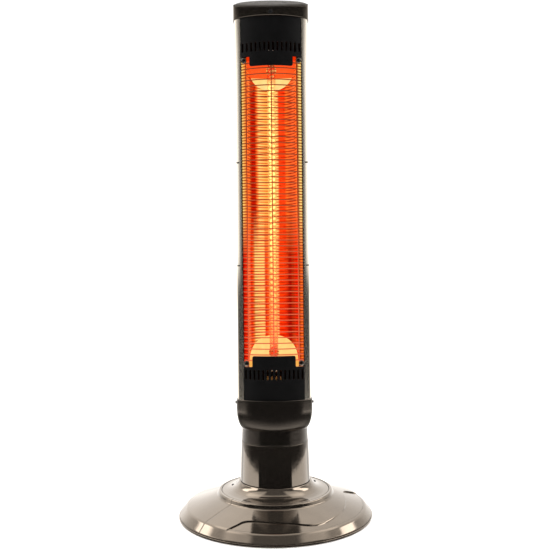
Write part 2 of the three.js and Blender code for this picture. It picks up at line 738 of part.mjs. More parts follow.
function controlBoard() {
  const board = box([-42, -22, -14.1], [42, 22, -12.5]);
  const switches = BUTTON_XS.map((x) => box([x - 3, -3, -13], [x + 3, 3, -9.7]));
  return onLid(join(board, ...switches), 0);
}

function terminalBlock() {
  const body = box([-16, 12, 214], [16, 28, 232]);
  const holes = [-10, 0, 10].map((x) => rod(3, 210, 236, 8).translate(x, 20, 0));
  return cut(body, ...holes);
}

// ---------------------------------------------------------------- assembly

function baseGroup() {
  const group = new THREE.Group();
  const cover = baseCover();
  const [front, rear] = [coverHalf(cover, -1), coverHalf(cover, 1)];
  const clearOfPlate = PLATE_TOP_Z + GAP;
  const switchPlace = [...polar(...SWITCH_PLACE), clearOfPlate];
  group.add(
    piece('base_plate', basePlate(), 'steel'),
    piece('ballast_weight', ring(BALLAST.inner, BALLAST.outer, clearOfPlate, BALLAST.top, 24), 'castIron'),
    piece('base_cover_front', front, 'gunmetal'),
    piece('base_cover_rear', cut(rear, glandHole(), glandRecess()), 'gunmetal'),
    piece('base_disc', baseDisc(), 'gunmetal'),
    piece('column', column(), 'blackGloss'),
    piece('cable_gland', cableGland(), 'rubber'),
    piece('tip_over_switch', tipOverSwitch().rotateZ(-30 * RAD), 'blackMatte', switchPlace),
    piece('swivel_deck', swivelDeck(), 'steel'),
    piece('swivel_motor', swivelMotor(), 'steel', [0, GEAR_DISTANCE, 0]),
    piece('bearing_ring', ring(44, 51, DECK_Z + DECK_T + GAP, TURNTABLE_Z - GAP, 24), 'acetal'),
    piece('pivot_spindle', pivotSpindle(), 'steel'),
    piece('spindle_nut', spindleNut(), 'steel'),
  );
  for (let k = 0; k < FOOT.count; k += 1) {
    const place = [...polar(FOOT.circleR, (360 * k) / FOOT.count), 0];
    group.add(piece(`foot_${k + 1}`, rod(FOOT.r, 0, PLATE_BOTTOM_Z - GAP, 12), 'rubber', place));
  }
  discScrewPoints().forEach(([x, y], k) => {
    const name = ['disc_screw_left', 'disc_screw_right'][k];
    group.add(piece(name, rod(DISC_SCREW_R, 41.2, 48, 12), 'blackMatte', [x, y, 0]));
  });
  return group;
}

// A small plate on the rail, square to the front arc.
function guardClip(side, z) {
  const { width, depth, height } = CLIP;
  const turn = side * Math.asin(CLIP_X / FRONT_ARC_R);
  const radius = FRONT_ARC_R + GAP + depth / 2;
  const plate = box([-width / 2, -depth / 2, -height / 2], [width / 2, depth / 2, height / 2]);
  return plate.rotateZ(turn).translate(radius * Math.sin(turn), FRONT_CENTRE_Y - radius * Math.cos(turn), z);
}

function guardFixings() {
  const group = new THREE.Group();
  [[-1, SCREW_HIGH_Z], [1, SCREW_HIGH_Z], [-1, SCREW_LOW_Z], [1, SCREW_LOW_Z]].forEach(([side, z], k) => {
    group.add(piece(`guard_screw_${k + 1}`, guardScrew(), 'steel', [side * SCREW_X, WASHER_BACK_Y, z]));
  });
  let count = 0;
  for (const z of CLIP_Z) {
    for (const side of [-1, 1]) {
      count += 1;
      group.add(piece(`guard_clip_${count}`, guardClip(side, z), 'blackMatte'));
    }
  }
  return group;
}

function headGroup() {
  const group = new THREE.Group();
  const turntable = ring(SPINDLE_R + GAP, TURNTABLE_R, TURNTABLE_Z, TURNTABLE_Z + TURNTABLE_T, BASE_FACETS);
  const screwHead = cupScrew().translate(0, CUP_SCREW.y, CUP_SCREW.z);
  const otherHead = cupScrew().rotateZ(Math.PI).translate(0, CUP_SCREW.y, CUP_SCREW.z);
  const onTubeAxis = [0, TUBE_Y, 0];
  group.add(
    piece('turntable', turntable, 'steel'),
    piece('head_gear', headGear().translate(0, 0, -GAP), 'acetal'),
    piece('neck_cup', neckCup(), 'blackGloss'),
    piece('cup_screw_right', screwHead, 'steel'),
    piece('cup_screw_left', otherHead, 'steel'),
    piece('rear_shell', rearShell(), 'gunmetal'),
    piece('left_rail', rail(-1), 'gunmetal'),
    piece('right_rail', rail(1), 'gunmetal'),
    piece('front_panel_top', frontPanel(TOP_PANEL), 'blackMatte'),
    piece('front_panel_bottom', frontPanel(BOTTOM_PANEL), 'blackMatte'),
    piece('reflector', reflector(), 'mirror'),
    piece('reflector_end_top', endPlate(END_PLATE.top), 'mirror'),
    piece('reflector_end_bottom', endPlate(END_PLATE.bottom), 'mirror'),
    piece('heat_shield', heatShield(), 'steel'),
    piece('heating_tube', ring(TUBE_BORE_R, TUBE_R, TUBE_LOW_Z, TUBE_HIGH_Z), 'quartz', onTubeAxis),
    piece('filament', filament(), 'carbon', onTubeAxis),
    piece('tube_cap_top', tubeCap(TUBE_HIGH_Z - 4, TUBE_HIGH_Z + 17), 'ceramic', onTubeAxis),
    piece('tube_cap_bottom', tubeCap(TUBE_LOW_Z + 4, TUBE_LOW_Z - 17), 'ceramic', onTubeAxis),
    piece('guard', guard(), 'wire'),
    piece('thermal_cutout', box([-8, -5, 715], [8, 0.6, 731]), 'blackMatte'),
    piece('terminal_block', terminalBlock(), 'ceramic'),
    piece('top_collar', topCollar(), 'blackGloss'),
    piece('collar_screw', collarScrew(), 'blackMatte', [0, 0, COLLAR_SCREW.z]),
    piece('top_lid', topLid(), 'lidGrey'),
    piece('control_board', controlBoard(), 'board'),
    guardFixings(),
  );
  return group;
}

function buttonGroup() {
  const group = new THREE.Group();
  ['button_power', 'button_heat', 'button_swing'].forEach((name, k) => {
    group.add(piece(name, onLid(rod(BUTTON_R, -8.2, BUTTON_PROUD), BUTTON_XS[k]), 'blackMatte'));
  });
  return group;
}

const heater = new THREE.Group();
const pinionPlace = [0, GEAR_DISTANCE, 0];
heater.add(baseGroup(), headGroup(), buttonGroup(), piece('motor_pinion', pinion(), 'acetal', pinionPlace));

export default heater;
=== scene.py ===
import json
import math

import bmesh
import bpy
from mathutils import Matrix, Vector


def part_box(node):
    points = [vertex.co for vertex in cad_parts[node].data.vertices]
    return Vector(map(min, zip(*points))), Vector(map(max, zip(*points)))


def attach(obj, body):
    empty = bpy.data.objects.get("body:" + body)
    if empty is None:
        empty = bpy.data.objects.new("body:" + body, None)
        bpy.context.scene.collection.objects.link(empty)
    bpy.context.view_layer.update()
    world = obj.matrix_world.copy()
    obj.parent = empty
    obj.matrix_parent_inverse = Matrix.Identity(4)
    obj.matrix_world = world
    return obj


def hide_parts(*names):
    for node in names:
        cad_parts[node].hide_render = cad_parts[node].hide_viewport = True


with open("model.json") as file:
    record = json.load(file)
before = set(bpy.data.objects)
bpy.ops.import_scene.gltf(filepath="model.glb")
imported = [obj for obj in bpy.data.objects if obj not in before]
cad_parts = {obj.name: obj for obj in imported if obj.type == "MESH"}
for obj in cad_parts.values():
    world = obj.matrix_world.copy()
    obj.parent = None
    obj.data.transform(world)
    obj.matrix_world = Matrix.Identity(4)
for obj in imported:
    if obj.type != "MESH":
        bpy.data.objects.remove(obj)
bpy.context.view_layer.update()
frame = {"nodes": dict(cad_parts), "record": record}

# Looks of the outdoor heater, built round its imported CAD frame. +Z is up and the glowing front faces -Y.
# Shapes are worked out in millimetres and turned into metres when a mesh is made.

MM = 0.001
SCENE = bpy.context.scene

# ---------------------------------------------------------------- driving dimensions, in millimetres

TOWER_HALF_W = 61.5
TOWER_WIDEST_Y = -30
TOWER_REAR_Y = 58
FRONT_ARC_R = 103
FRONT_CENTRE_Y = 41
CORNER_SHARPNESS = 40
WALL = 1.8
RAIL_EDGE_X = 50.3
SIDE_SEAM_DEG = -13

PANEL_R = FRONT_ARC_R - 0.3
PANEL_HALF_W = 49.8
PANEL_T = 1.6
CASING_HIGH_Z = 835.7
TAB_HALF_W = 36
SLOT_COUNT = 14
SLOT_PITCH = 7.2
SLOT_W = 2.8

GUARD_R = 98.2
WIRE_R = 0.9
WIRE_ROWS = 53
WIRE_LOW_Z = 269
WIRE_HIGH_Z = 761
WIRE_REACH = 49.4
UPRIGHT_XS = (-42.4, 0, 42.4)
GUARD_SEAT_Y = -48.8

TROUGH_HALF_W = 41
TROUGH_FRONT_Y = -44.3
TROUGH_BACK_Y = -7.2
TROUGH_LIP = (49.6, -38.6)
TROUGH_BEND = (45.6, -41.4)
SHEET_T = 0.8
TUBE_Y = -32
TUBE_R = 7.25
TUBE_BORE_R = 6.05
TUBE_LOW_Z = 266
TUBE_HIGH_Z = 768
RIBBON_LOW_Z = 273
RIBBON_HIGH_Z = 761

WAVE_STEP = 2.6
WAVE_EASE = 0.5
WAVE_SPAN = (102, 150)
COVER_SEAM_DEG = 42.5
BEVEL_LOW = (163.9, 6.2)
BEVEL_HIGH = (152.8, 18.2)
COVER_FOOT = (100.5, 36)
COVER_EDGE = (150.6, 19.8)
COVER_SLOPE = (COVER_EDGE[1] - COVER_FOOT[1]) / (COVER_EDGE[0] - COVER_FOOT[0])
HALF_SEAM = 0.3

COLLAR_LOW_Z = 836
COLLAR_FRONT_Z = 848.4
LID_LOW_Y = -64
LID_SLOPE = 0.437
LID_TILT = math.atan(LID_SLOPE)
BUTTON_R = 6.2
BUTTON_XS = (-24, 0, 24)
BUTTON_Y = -8

CAMERA_PLACE = (0.003, -1.263, 0.41)
CAMERA_ROLL_DEG = -0.58


# ---------------------------------------------------------------- outlines

def polar(radius, degrees):
    turn = math.radians(degrees)
    return radius * math.cos(turn), radius * math.sin(turn)


def spread(start, end, steps):
    """Evenly spaced values from start to end, both included."""
    return [start + (end - start) * k / steps for k in range(steps + 1)]


def rounded(corners, radii, steps=4):
    """A closed outline with its corners rounded. radii is one radius, or one for each corner."""
    points = []
    for k, corner in enumerate(corners):
        radius = radii[k] if isinstance(radii, (list, tuple)) else radii
        here = Vector(corner)
        before = Vector(corners[k - 1]) - here
        after = Vector(corners[(k + 1) % len(corners)]) - here
        reach = min(radius, 0.45 * before.length, 0.45 * after.length)
        if reach < 1e-3:
            points.append(tuple(here))
            continue
        start = here + before.normalized() * reach
        end = here + after.normalized() * reach
        for t in spread(0, 1, steps):
            points.append(tuple(start * (1 - t) ** 2 + here * 2 * t * (1 - t) + end * t ** 2))
    return points


def circle(radius, steps, centre=(0, 0), squeeze=1.0):
    turns = [2 * math.pi * k / steps for k in range(steps)]
    return [(centre[0] + radius * math.cos(a), centre[1] + squeeze * radius * math.sin(a)) for a in turns]


def hexagon(radius, steps):
    """A hexagon with as many points as a circle of that many steps."""
    points = []
    for k in range(steps):
        turn = 2 * math.pi * k / steps
        within = turn % (math.pi / 3) - math.pi / 6
        reach = radius * math.cos(math.pi / 6) / math.cos(within)
        points.append((reach * math.cos(turn), reach * math.sin(turn)))
    return points


def tower_radius(degrees):
    """Distance from the axis to the tower's outline: a shallow front arc and half an ellipse behind."""
    turn = math.radians(degrees)
    c, s = math.cos(turn), math.sin(turn)
    along = FRONT_CENTRE_Y * s
    front = along + math.sqrt(along ** 2 - FRONT_CENTRE_Y ** 2 + FRONT_ARC_R ** 2)
    depth = TOWER_REAR_Y - TOWER_WIDEST_Y
    square = (c / TOWER_HALF_W) ** 2 + (s / depth) ** 2
    linear = TOWER_WIDEST_Y * s / depth ** 2
    rest = (TOWER_WIDEST_Y / depth) ** 2 - 1
    rear = (linear + math.sqrt(linear ** 2 - square * rest)) / square
    return (front ** -CORNER_SHARPNESS + rear ** -CORNER_SHARPNESS) ** (-1 / CORNER_SHARPNESS)


def tower_wall(start, end, offset, steps):
    return [polar(tower_radius(a) + offset, a) for a in spread(start, end, steps)]


def outline_angles():
    """Directions round the tower, close together at the front corners."""
    right = []
    a = -90.0
    while a < 90:
        right.append(a)
        a += 1 if -58 < a < -22 else 3
    return right + [90.0] + [180 - a for a in reversed(right[1:])]


ANGLES = outline_angles()


def tower_ring(offset, height_at):
    ring = [polar(tower_radius(a) + offset, a) for a in ANGLES]
    return [(x, y, height_at(y)) for x, y in ring]


def front_arc(x, z, radius):
    """The point of a cylinder about the front's centre line that is straight behind x on the outer face."""
    turn = math.asin(x / PANEL_R)
    return radius * math.sin(turn), FRONT_CENTRE_Y - radius * math.cos(turn), z


# ---------------------------------------------------------------- mesh helpers

def skin(rings, closed=True):
    """Points and faces through rings of equally many points, closed on itself or capped at both ends."""
    count = len(rings[0])
    points = [point for ring in rings for point in ring]
    faces = []
    for r in range(len(rings) if closed else len(rings) - 1):
        here = r * count
        there = (r + 1) % len(rings) * count
        for i in range(count):
            j = (i + 1) % count
            faces.append((here + i, here + j, there + j, there + i))
    if not closed:
        faces.append(tuple(reversed(range(count))))
        faces.append(tuple(range(len(points) - count, len(points))))
    return points, faces


def turned(profile, segments=160):
    """A closed profile of (radius, height) points turned about Z."""
    turns = [360 * k / segments for k in range(segments)]
    return skin([[(*polar(r, a), z) for r, z in profile] for a in turns])


def raised(outline, low, high, ease=0.4):
    """An outline drawn from above, standing between two heights, its top and bottom edges eased."""
    rings = []
    for z, inset in ((low, ease), (low + ease, 0), (high - ease, 0), (high, ease)):
        ring = []
        for k, (x, y) in enumerate(outline):
            before, after = Vector(outline[k - 1]), Vector(outline[(k + 1) % len(outline)])
            along = (after - before).normalized()
            inwards = Vector((-along.y, along.x))
            ring.append((x + inwards.x * inset, y + inwards.y * inset, z))
        rings.append(ring)
    return skin(rings, closed=False)


def merged(*parts):
    """Several (points, faces) pairs as one."""
    points, faces = [], []
    for some_points, some_faces in parts:
        base = len(points)
        points.extend(some_points)
        faces.extend(tuple(base + i for i in face) for face in some_faces)
    return points, faces


def moved(part, matrix):
    points, faces = part
    return [tuple(matrix @ Vector(p)) for p in points], faces


def mapped(part, change):
    points, faces = part
    return [change(*p) for p in points], faces


def plate(outlines, thickness, bevel, cuts=()):
    """A flat plate lying about z = 0 with rounded edges. The first outline is the edge, the others are holes.
    cuts are the x positions at which its faces are split, so that it can be bent there."""
    curve = bpy.data.curves.new("outline", "CURVE")
    curve.dimensions = "2D"
    curve.fill_mode = "BOTH"
    curve.extrude = thickness / 2 - bevel
    curve.bevel_depth = bevel
    curve.bevel_resolution = 2
    curve.offset = -bevel
    for outline in outlines:
        spline = curve.splines.new("POLY")
        spline.points.add(len(outline) - 1)
        for point, (x, y) in zip(spline.points, outline):
            point.co = (x, y, 0, 1)
        spline.use_cyclic_u = True
    holder = bpy.data.objects.new("outline", curve)
    SCENE.collection.objects.link(holder)
    bpy.context.view_layer.update()
    flat = bpy.data.meshes.new_from_object(holder.evaluated_get(bpy.context.evaluated_depsgraph_get()))
    work = bmesh.new()
    work.from_mesh(flat)
    bpy.data.objects.remove(holder)
    bpy.data.curves.remove(curve)
    bpy.data.meshes.remove(flat)
    bmesh.ops.remove_doubles(work, verts=work.verts, dist=1e-3)
    for x in cuts:
        everything = work.verts[:] + work.edges[:] + work.faces[:]
        bmesh.ops.bisect_plane(work, geom=everything, dist=1e-4, plane_co=(x, 0, 0), plane_no=(1, 0, 0))
    work.verts.index_update()
    points = [tuple(v.co) for v in work.verts]
    faces = [tuple(v.index for v in face.verts) for face in work.faces]
    work.free()
    return points, faces


def swept(path, radius, sides=8, closed=False):
    """A round wire along a path of points."""
    path = [Vector(p) for p in path]
    rings = []
    for k, point in enumerate(path):
        before = path[k - 1] if closed or k > 0 else point
        after = path[(k + 1) % len(path)] if closed or k + 1 < len(path) else point
        along = (after - before).normalized()
        across = along.cross(Vector((0, 0, 1)) if abs(along.z) < 0.9 else Vector((0, 1, 0))).normalized()
        other = along.cross(across)
        turns = [2 * math.pi * i / sides for i in range(sides)]
        rings.append([tuple(point + (across * math.cos(a) + other * math.sin(a)) * radius) for a in turns])
    return skin(rings, closed)


# ---------------------------------------------------------------- materials

class Nodes:
    """A material's node tree, with the few steps that every finish here uses."""

    def __init__(self, name):
        self.material = bpy.data.materials.new(name)
        self.material.use_nodes = True
        self.tree = self.material.node_tree
        self.shader = self.tree.nodes["Principled BSDF"]
        self.place = self.add("ShaderNodeTexCoord").outputs["Object"]

    def add(self, kind, **settings):
        node = self.tree.nodes.new(kind)
        for key, value in settings.items():
            setattr(node, key, value)
        return node

    def link(self, output, target):
        self.tree.links.new(output, target)

    def scaled(self, stretch):
        node = self.add("ShaderNodeMapping")
        node.inputs["Scale"].default_value = stretch
        self.link(self.place, node.inputs["Vector"])
        return node.outputs["Vector"]

    def noise(self, size, detail=3.0, stretch=(1, 1, 1), distortion=0.0):
        """Smooth noise with features of about that size in metres."""
        node = self.add("ShaderNodeTexNoise")
        node.inputs["Scale"].default_value = 1 / size
        node.inputs["Detail"].default_value = detail
        node.inputs["Distortion"].default_value = distortion
        self.link(self.scaled(stretch), node.inputs["Vector"])
        return node.outputs["Fac"]

    def cells(self, size):
        """A random value in each small cell, as in metallic flake."""
        node = self.add("ShaderNodeTexVoronoi")
        node.inputs["Scale"].default_value = 1 / size
        self.link(self.place, node.inputs["Vector"])
        return node.outputs["Color"]

    def ranged(self, value, low, high, from_low=0.3, from_high=0.7):
        node = self.add("ShaderNodeMapRange")
        self.link(value, node.inputs["Value"])
        node.inputs["From Min"].default_value = from_low
        node.inputs["From Max"].default_value = from_high
        node.inputs["To Min"].default_value = low
        node.inputs["To Max"].default_value = high
        return node.outputs["Result"]

    def blended(self, factor, first, second, blend_type="MIX"):
        """A mix of two colours, or of two colour outputs."""
        node = self.add("ShaderNodeMix", data_type="RGBA", blend_type=blend_type)
        if isinstance(factor, float):
            node.inputs["Factor"].default_value = factor
        else:
            self.link(factor, node.inputs["Factor"])
        for value, target in ((first, node.inputs[6]), (second, node.inputs[7])):
            if isinstance(value, tuple):
                target.default_value = (*value, 1)
            else:
                self.link(value, target)
        return node.outputs[2]

    def maths(self, operation, first, second=0.0):
        node = self.add("ShaderNodeMath", operation=operation)
        for value, target in ((first, node.inputs[0]), (second, node.inputs[1])):
            if isinstance(value, (int, float)):
                target.default_value = value
            else:
                self.link(value, target)
        return node.outputs[0]

    def ramp(self, value, stops):
        """Colours along a value from 0 to 1. stops is a list of (position, colour)."""
        node = self.add("ShaderNodeValToRGB")
        elements = node.color_ramp.elements
        while len(elements) < len(stops):
            elements.new(0.5)
        for element, (position, colour) in zip(elements, stops):
            element.position = position
            element.color = (*colour, 1)
        self.link(value, node.inputs["Fac"])
        return node.outputs["Color"]

    def bump(self, value, depth, distance=0.0002):
        """Relief from a value, on top of any relief already there."""
        node = self.add("ShaderNodeBump")
        node.inputs["Strength"].default_value = depth
        node.inputs["Distance"].default_value = distance
        self.link(value, node.inputs["Height"])
        if self.shader.inputs["Normal"].is_linked:
            self.link(self.shader.inputs["Normal"].links[0].from_socket, node.inputs["Normal"])
        self.link(node.outputs["Normal"], self.shader.inputs["Normal"])

    def set(self, **values):
        """Sets the shader's own sockets. An underscore stands for a space."""
        for key, value in values.items():
            self.shader.inputs[key.replace("_", " ")].default_value = value


def shade(colour, factor):
    return tuple(min(1.0, c * factor) for c in colour)


def finish(name, colour, roughness, metallic=0.0, vary=0.12, smudge=0.04, grain=0.0005, relief=0.1,
           stretch=(1, 1, 1), **sockets):
    """A painted, moulded or metal finish: slow colour change, uneven gloss and a fine grain."""
    nodes = Nodes(name)
    nodes.set(Metallic=metallic, **sockets)
    cloud = nodes.noise(0.03, 4, stretch)
    fine = nodes.noise(grain, 3, stretch)
    tone = nodes.blended(nodes.ranged(cloud, 0, 1), shade(colour, 1 - vary), shade(colour, 1 + vary))
    speck = nodes.blended(nodes.ranged(fine, 0, 1), shade((1, 1, 1), 1 - vary), (1, 1, 1))
    nodes.link(nodes.blended(1.0, tone, speck, "MULTIPLY"), nodes.shader.inputs["Base Color"])
    wear = nodes.noise(0.012, 6, stretch, 0.6)
    gloss = nodes.ranged(wear, max(0.02, roughness - smudge), roughness + smudge)
    nodes.link(gloss, nodes.shader.inputs["Roughness"])
    nodes.bump(fine, relief)
    return nodes


def flake_finish(name, colour, roughness, metallic, flake=0.00035, sparkle=0.25, ripple=0.03, **sockets):
    """Gloss lacquer over fine metallic flake, with the faint ripple of a moulded surface."""
    nodes = finish(name, colour, roughness, metallic, vary=0.05, smudge=0.03, relief=0.02, **sockets)
    cells = nodes.cells(flake)
    base = nodes.shader.inputs["Base Color"].links[0].from_socket
    dark = nodes.blended(1.0, base, shade((1, 1, 1), 1 - sparkle), "MULTIPLY")
    value = nodes.ranged(cells, 0, 1, 0, 1)
    nodes.link(nodes.blended(value, dark, base), nodes.shader.inputs["Base Color"])
    nodes.bump(nodes.noise(0.02, 2), ripple, 0.002)
    return nodes


def axis_value(nodes, axis, low, high):
    """0 to 1 along one axis of the object, between two places in millimetres."""
    split = nodes.add("ShaderNodeSeparateXYZ")
    nodes.link(nodes.place, split.inputs[0])
    return nodes.ranged(split.outputs[axis], 0, 1, low * MM, high * MM)


def painted_glow_bands(nodes, stops):
    """Painted bands of the element's glow reflected across the trough, drawn as emission. Each stop is (x in
    millimetres, colour).
    """
    half = 50
    places = [((x + half) / (2 * half), colour) for x, colour in stops]
    return nodes.ramp(axis_value(nodes, "X", -half, half), places)


def painted_wire_reflections(nodes, waver):
    """Painted dark lines across the trough, two for each guard wire, standing in for the wires' reflections
    in it.
    """
    spacing, spacing_at_scale_1 = 0.00473, 0.314
    lines = nodes.add("ShaderNodeTexWave", wave_type="BANDS", bands_direction="Z")
    lines.inputs["Scale"].default_value = spacing_at_scale_1 / spacing
    lines.inputs["Distortion"].default_value = waver
    lines.inputs["Detail"].default_value = 2
    lines.inputs["Detail Scale"].default_value = 60
    nodes.link(nodes.place, lines.inputs["Vector"])
    return nodes.ranged(lines.outputs["Fac"], 0, 1, 0.12, 0.5)


def reflector_finish():
    """Hot mirror sheet with rolling lines and slow waves. Its metal is tinted dark red as painted light from
    the element, and painted emission bands stand in for the element's glow reflected in it.
    """
    nodes = finish("polished_aluminium", (0.22, 0.05, 0.02), 0.15, 1.0, vary=0.04, smudge=0.08, grain=0.0008,
                   relief=0.04, stretch=(1, 1, 0.05))
    yellow, orange, red = (1.0, 0.7, 0.2), (1.0, 0.17, 0.02), (0.84, 0.012, 0.0)
    deep, dark = (0.5, 0.006, 0.0), (0.26, 0.0, 0.0)
    upper = painted_glow_bands(nodes, [
        (-50, yellow), (-46, (1.0, 0.5, 0.1)), (-43, orange), (-38, orange), (-36, deep), (-29, deep),
        (-26, orange), (-22, yellow), (-10, (1.0, 0.5, 0.09)), (9, yellow), (12, red),
        (21, (0.86, 0.008, 0.0)), (25, orange), (36, (1.0, 0.13, 0.03)), (41, orange), (43, dark),
        (46, yellow),
    ])
    lower = painted_glow_bands(nodes, [
        (-50, deep), (-46, red), (-40, (0.95, 0.1, 0.03)), (-36, red), (-33, orange), (-30, yellow),
        (-16, yellow), (-13, deep), (-8, orange), (7, yellow), (11, (0.9, 0.03, 0.0)), (22, deep), (27, dark),
        (34, deep), (39, red), (42, dark), (47, orange),
    ])
    climb = nodes.ranged(axis_value(nodes, "Z", 400, 560), 0, 1, 0.25, 0.75)
    # painted glow: the lower bands low down, the upper bands high up
    bands = nodes.blended(climb, lower, upper)
    # painted reflections of the guard wires darken the painted glow
    lines = nodes.blended(painted_wire_reflections(nodes, 0.8), (0.32, 0.1, 0.06), (1, 1, 1))
    # the painted glow and wire reflections are drawn as emission
    nodes.link(nodes.blended(1.0, bands, lines, "MULTIPLY"), nodes.shader.inputs["Emission Color"])
    nodes.set(Emission_Strength=0.95)
    nodes.bump(nodes.noise(0.02, 2, (1, 1, 0.6)), 0.3, 0.001)
    return nodes.material


def end_plate_finish():
    """Creased bright sheet with painted glow: the upper plate orange in front and cream behind, the lower one
    mostly cream, standing in for the element's light reflected in it.
    """
    nodes = finish("end_plate", (0.25, 0.06, 0.02), 0.3, 1.0, vary=0.06, grain=0.002, relief=0.2)
    cream, orange = (1.0, 0.8, 0.28), (1.0, 0.075, 0.004)
    front, back = -45, -7
    upper = nodes.ramp(axis_value(nodes, "Y", front, back), [
        (0, (0.85, 0.03, 0.0)), (0.35, orange), (0.56, orange), (0.575, cream), (1, (1.0, 0.8, 0.32)),
    ])
    lower = nodes.ramp(axis_value(nodes, "Y", front, back), [
        (0, (1.0, 0.5, 0.1)), (0.3, cream), (1, (1.0, 0.72, 0.22)),
    ])
    climb = nodes.ranged(axis_value(nodes, "Z", 500, 520), 0, 1, 0, 1)
    cloud = nodes.blended(nodes.ranged(nodes.noise(0.008, 5), 0, 1), (0.93, 0.84, 0.74), (1, 1, 1))
    colour = nodes.blended(1.0, nodes.blended(climb, lower, upper), cloud, "MULTIPLY")
    # the painted glow is drawn as emission
    nodes.link(colour, nodes.shader.inputs["Emission Color"])
    nodes.set(Emission_Strength=0.95)
    return nodes.material


def heat_along_tube(nodes, gain):
    """The element's colour from its cool lower end, through orange and yellow, to its cool upper end."""
    stops = [(0, (0.25, 0.01, 0.0)), (0.035, (0.5, 0.02, 0.005)), (0.07, (1.0, 0.16, 0.04)),
             (0.3, (1.0, 0.36, 0.09)), (0.5, (1.0, 0.55, 0.15)), (0.92, (1.0, 0.58, 0.17)),
             (0.95, (0.5, 0.02, 0.0)), (1, (0.15, 0.0, 0.0))]
    heat = nodes.ranged(nodes.noise(0.005, 3), 0, 1)
    colour = nodes.ramp(axis_value(nodes, "Z", 270, 766), stops)
    cooler = nodes.blended(1.0, colour, (1, 0.8, 0.7), "MULTIPLY")
    nodes.link(nodes.blended(heat, colour, cooler), nodes.shader.inputs["Emission Color"])
    nodes.set(Emission_Strength=gain)


def filament_finish():
    """Incandescent carbon ribbon, a little uneven along its length."""
    nodes = finish("glowing_carbon", (0.25, 0.08, 0.03), 0.6, relief=0.3)
    heat_along_tube(nodes, 3.0)
    return nodes.material


def quartz_finish():
    """Clear tube, warm with a painted glow that stands in for the filament's light scattered in it, more
    solid where it is seen edge on.
    """
    nodes = finish("quartz_glass", (0.3, 0.1, 0.04), 0.04, relief=0.02, smudge=0.02, IOR=1.46)
    edge = nodes.add("ShaderNodeLayerWeight")
    edge.inputs["Blend"].default_value = 0.35
    nodes.link(nodes.ranged(edge.outputs["Facing"], 0.18, 0.6, 0.15, 0.8), nodes.shader.inputs["Alpha"])
    # painted glow: the element's colour drawn as emission in the glass
    heat_along_tube(nodes, 0.9)
    return nodes.material


def wire_finish():
    """Plated wire, blued and browned by heat, with a painted glow for the element's light shining on it,
    brightest low down.
    """
    nodes = finish("plated_wire", (0.1, 0.045, 0.03), 0.35, 0.9, vary=0.25, smudge=0.1, grain=0.002)
    # painted light: emission for the element's light on the wires, from bright orange low down to dim red
    # high up
    lit = nodes.ramp(axis_value(nodes, "Z", 260, 770), [
        (0, (1.0, 0.16, 0.07)), (0.3, (0.9, 0.14, 0.05)), (0.5, (0.5, 0.08, 0.02)),
        (0.75, (0.3, 0.045, 0.01)),
    ])
    nodes.link(lit, nodes.shader.inputs["Emission Color"])
    nodes.set(Emission_Strength=0.7)
    return nodes.material


def lit_edge_finish():
    """The black painted edge, with a painted orange glow drawn as emission for the element's light that it
    catches.
    """
    nodes = finish("lit_edge", (0.05, 0.02, 0.015), 0.5)
    cloud = nodes.ranged(nodes.noise(0.01, 3), 0, 1)
    # painted glow, mottled
    glow = nodes.blended(cloud, (1.0, 0.3, 0.14), (1.0, 0.42, 0.2))
    nodes.link(glow, nodes.shader.inputs["Emission Color"])
    nodes.set(Emission_Strength=0.9)
    return nodes.material


def make_materials():
    gunmetal = (0.175, 0.147, 0.12)
    return {
        "gunmetal_gloss": flake_finish("gunmetal_gloss", gunmetal, 0.1, 0.88, sparkle=0.12).material,
        "gunmetal_anodised": finish("gunmetal_anodised", (0.78, 0.72, 0.63), 0.1, 0.95, vary=0.03,
                                    grain=0.002, smudge=0.01, relief=0.005, stretch=(1, 1, 0.04)).material,
        "black_gloss": flake_finish("black_gloss", (0.105, 0.09, 0.075), 0.04, 0.9, ripple=0.02,
                                    sparkle=0.05).material,
        # cup_gloss: a darker, rougher copy of black_gloss, painted shade that dims the reflections on the
        # neck cup
        "cup_gloss": flake_finish("cup_gloss", (0.07, 0.061, 0.052), 0.2, 0.9, ripple=0.02,
                                  sparkle=0.05).material,
        "black_matte": finish("black_matte", (0.01, 0.01, 0.011), 0.5, relief=0.3).material,
        "black_stove_paint": finish("black_stove_paint", (0.005, 0.005, 0.0055), 0.45, vary=0.2, grain=0.0006,
                                    relief=0.4, Specular_IOR_Level=0.14).material,
        "lid_grey": finish("lid_grey", (0.028, 0.023, 0.018), 0.5, vary=0.15, grain=0.0007, relief=0.5,
                           Specular_IOR_Level=0.03).material,
        "plated_wire": wire_finish(),
        "steel": finish("steel", (0.4, 0.36, 0.31), 0.3, 0.9, vary=0.1, smudge=0.1, relief=0.1).material,
        "dark_steel": finish("dark_steel", (0.008, 0.008, 0.009), 0.3, 0.3, relief=0.15).material,
        "cast_iron": finish("cast_iron", (0.06, 0.058, 0.055), 0.75, 0.4, grain=0.0015, relief=0.9).material,
        "ceramic": finish("ceramic", (0.78, 0.73, 0.64), 0.5, grain=0.0006, relief=0.3).material,
        "acetal": finish("acetal", (0.76, 0.73, 0.66), 0.4, grain=0.001, relief=0.15).material,
        "rubber": finish("rubber", (0.016, 0.016, 0.017), 0.8, grain=0.0006, relief=0.6).material,
        "circuit_board": finish("circuit_board", (0.02, 0.11, 0.045), 0.35, grain=0.001, relief=0.3).material,
        "polished_aluminium": reflector_finish(),
        "end_plate": end_plate_finish(),
        "glowing_carbon": filament_finish(),
        "quartz_glass": quartz_finish(),
        "lit_edge": lit_edge_finish(),
    }


MATERIALS = make_materials()
SLOT_OF = {subpart["node"]: subpart["material_slot"] for subpart in frame["record"]["subparts"]}
BODY_OF = {node: body for body, nodes in frame["record"]["behaviour"]["bodies"].items() for node in nodes}


def dress_cad_nodes():
    """Gives every CAD node the finish of the material slot that the record names for it."""
    for name, slot in SLOT_OF.items():
        node = frame["nodes"][name]
        node.data.materials.clear()
        node.data.materials.append(MATERIALS[slot])


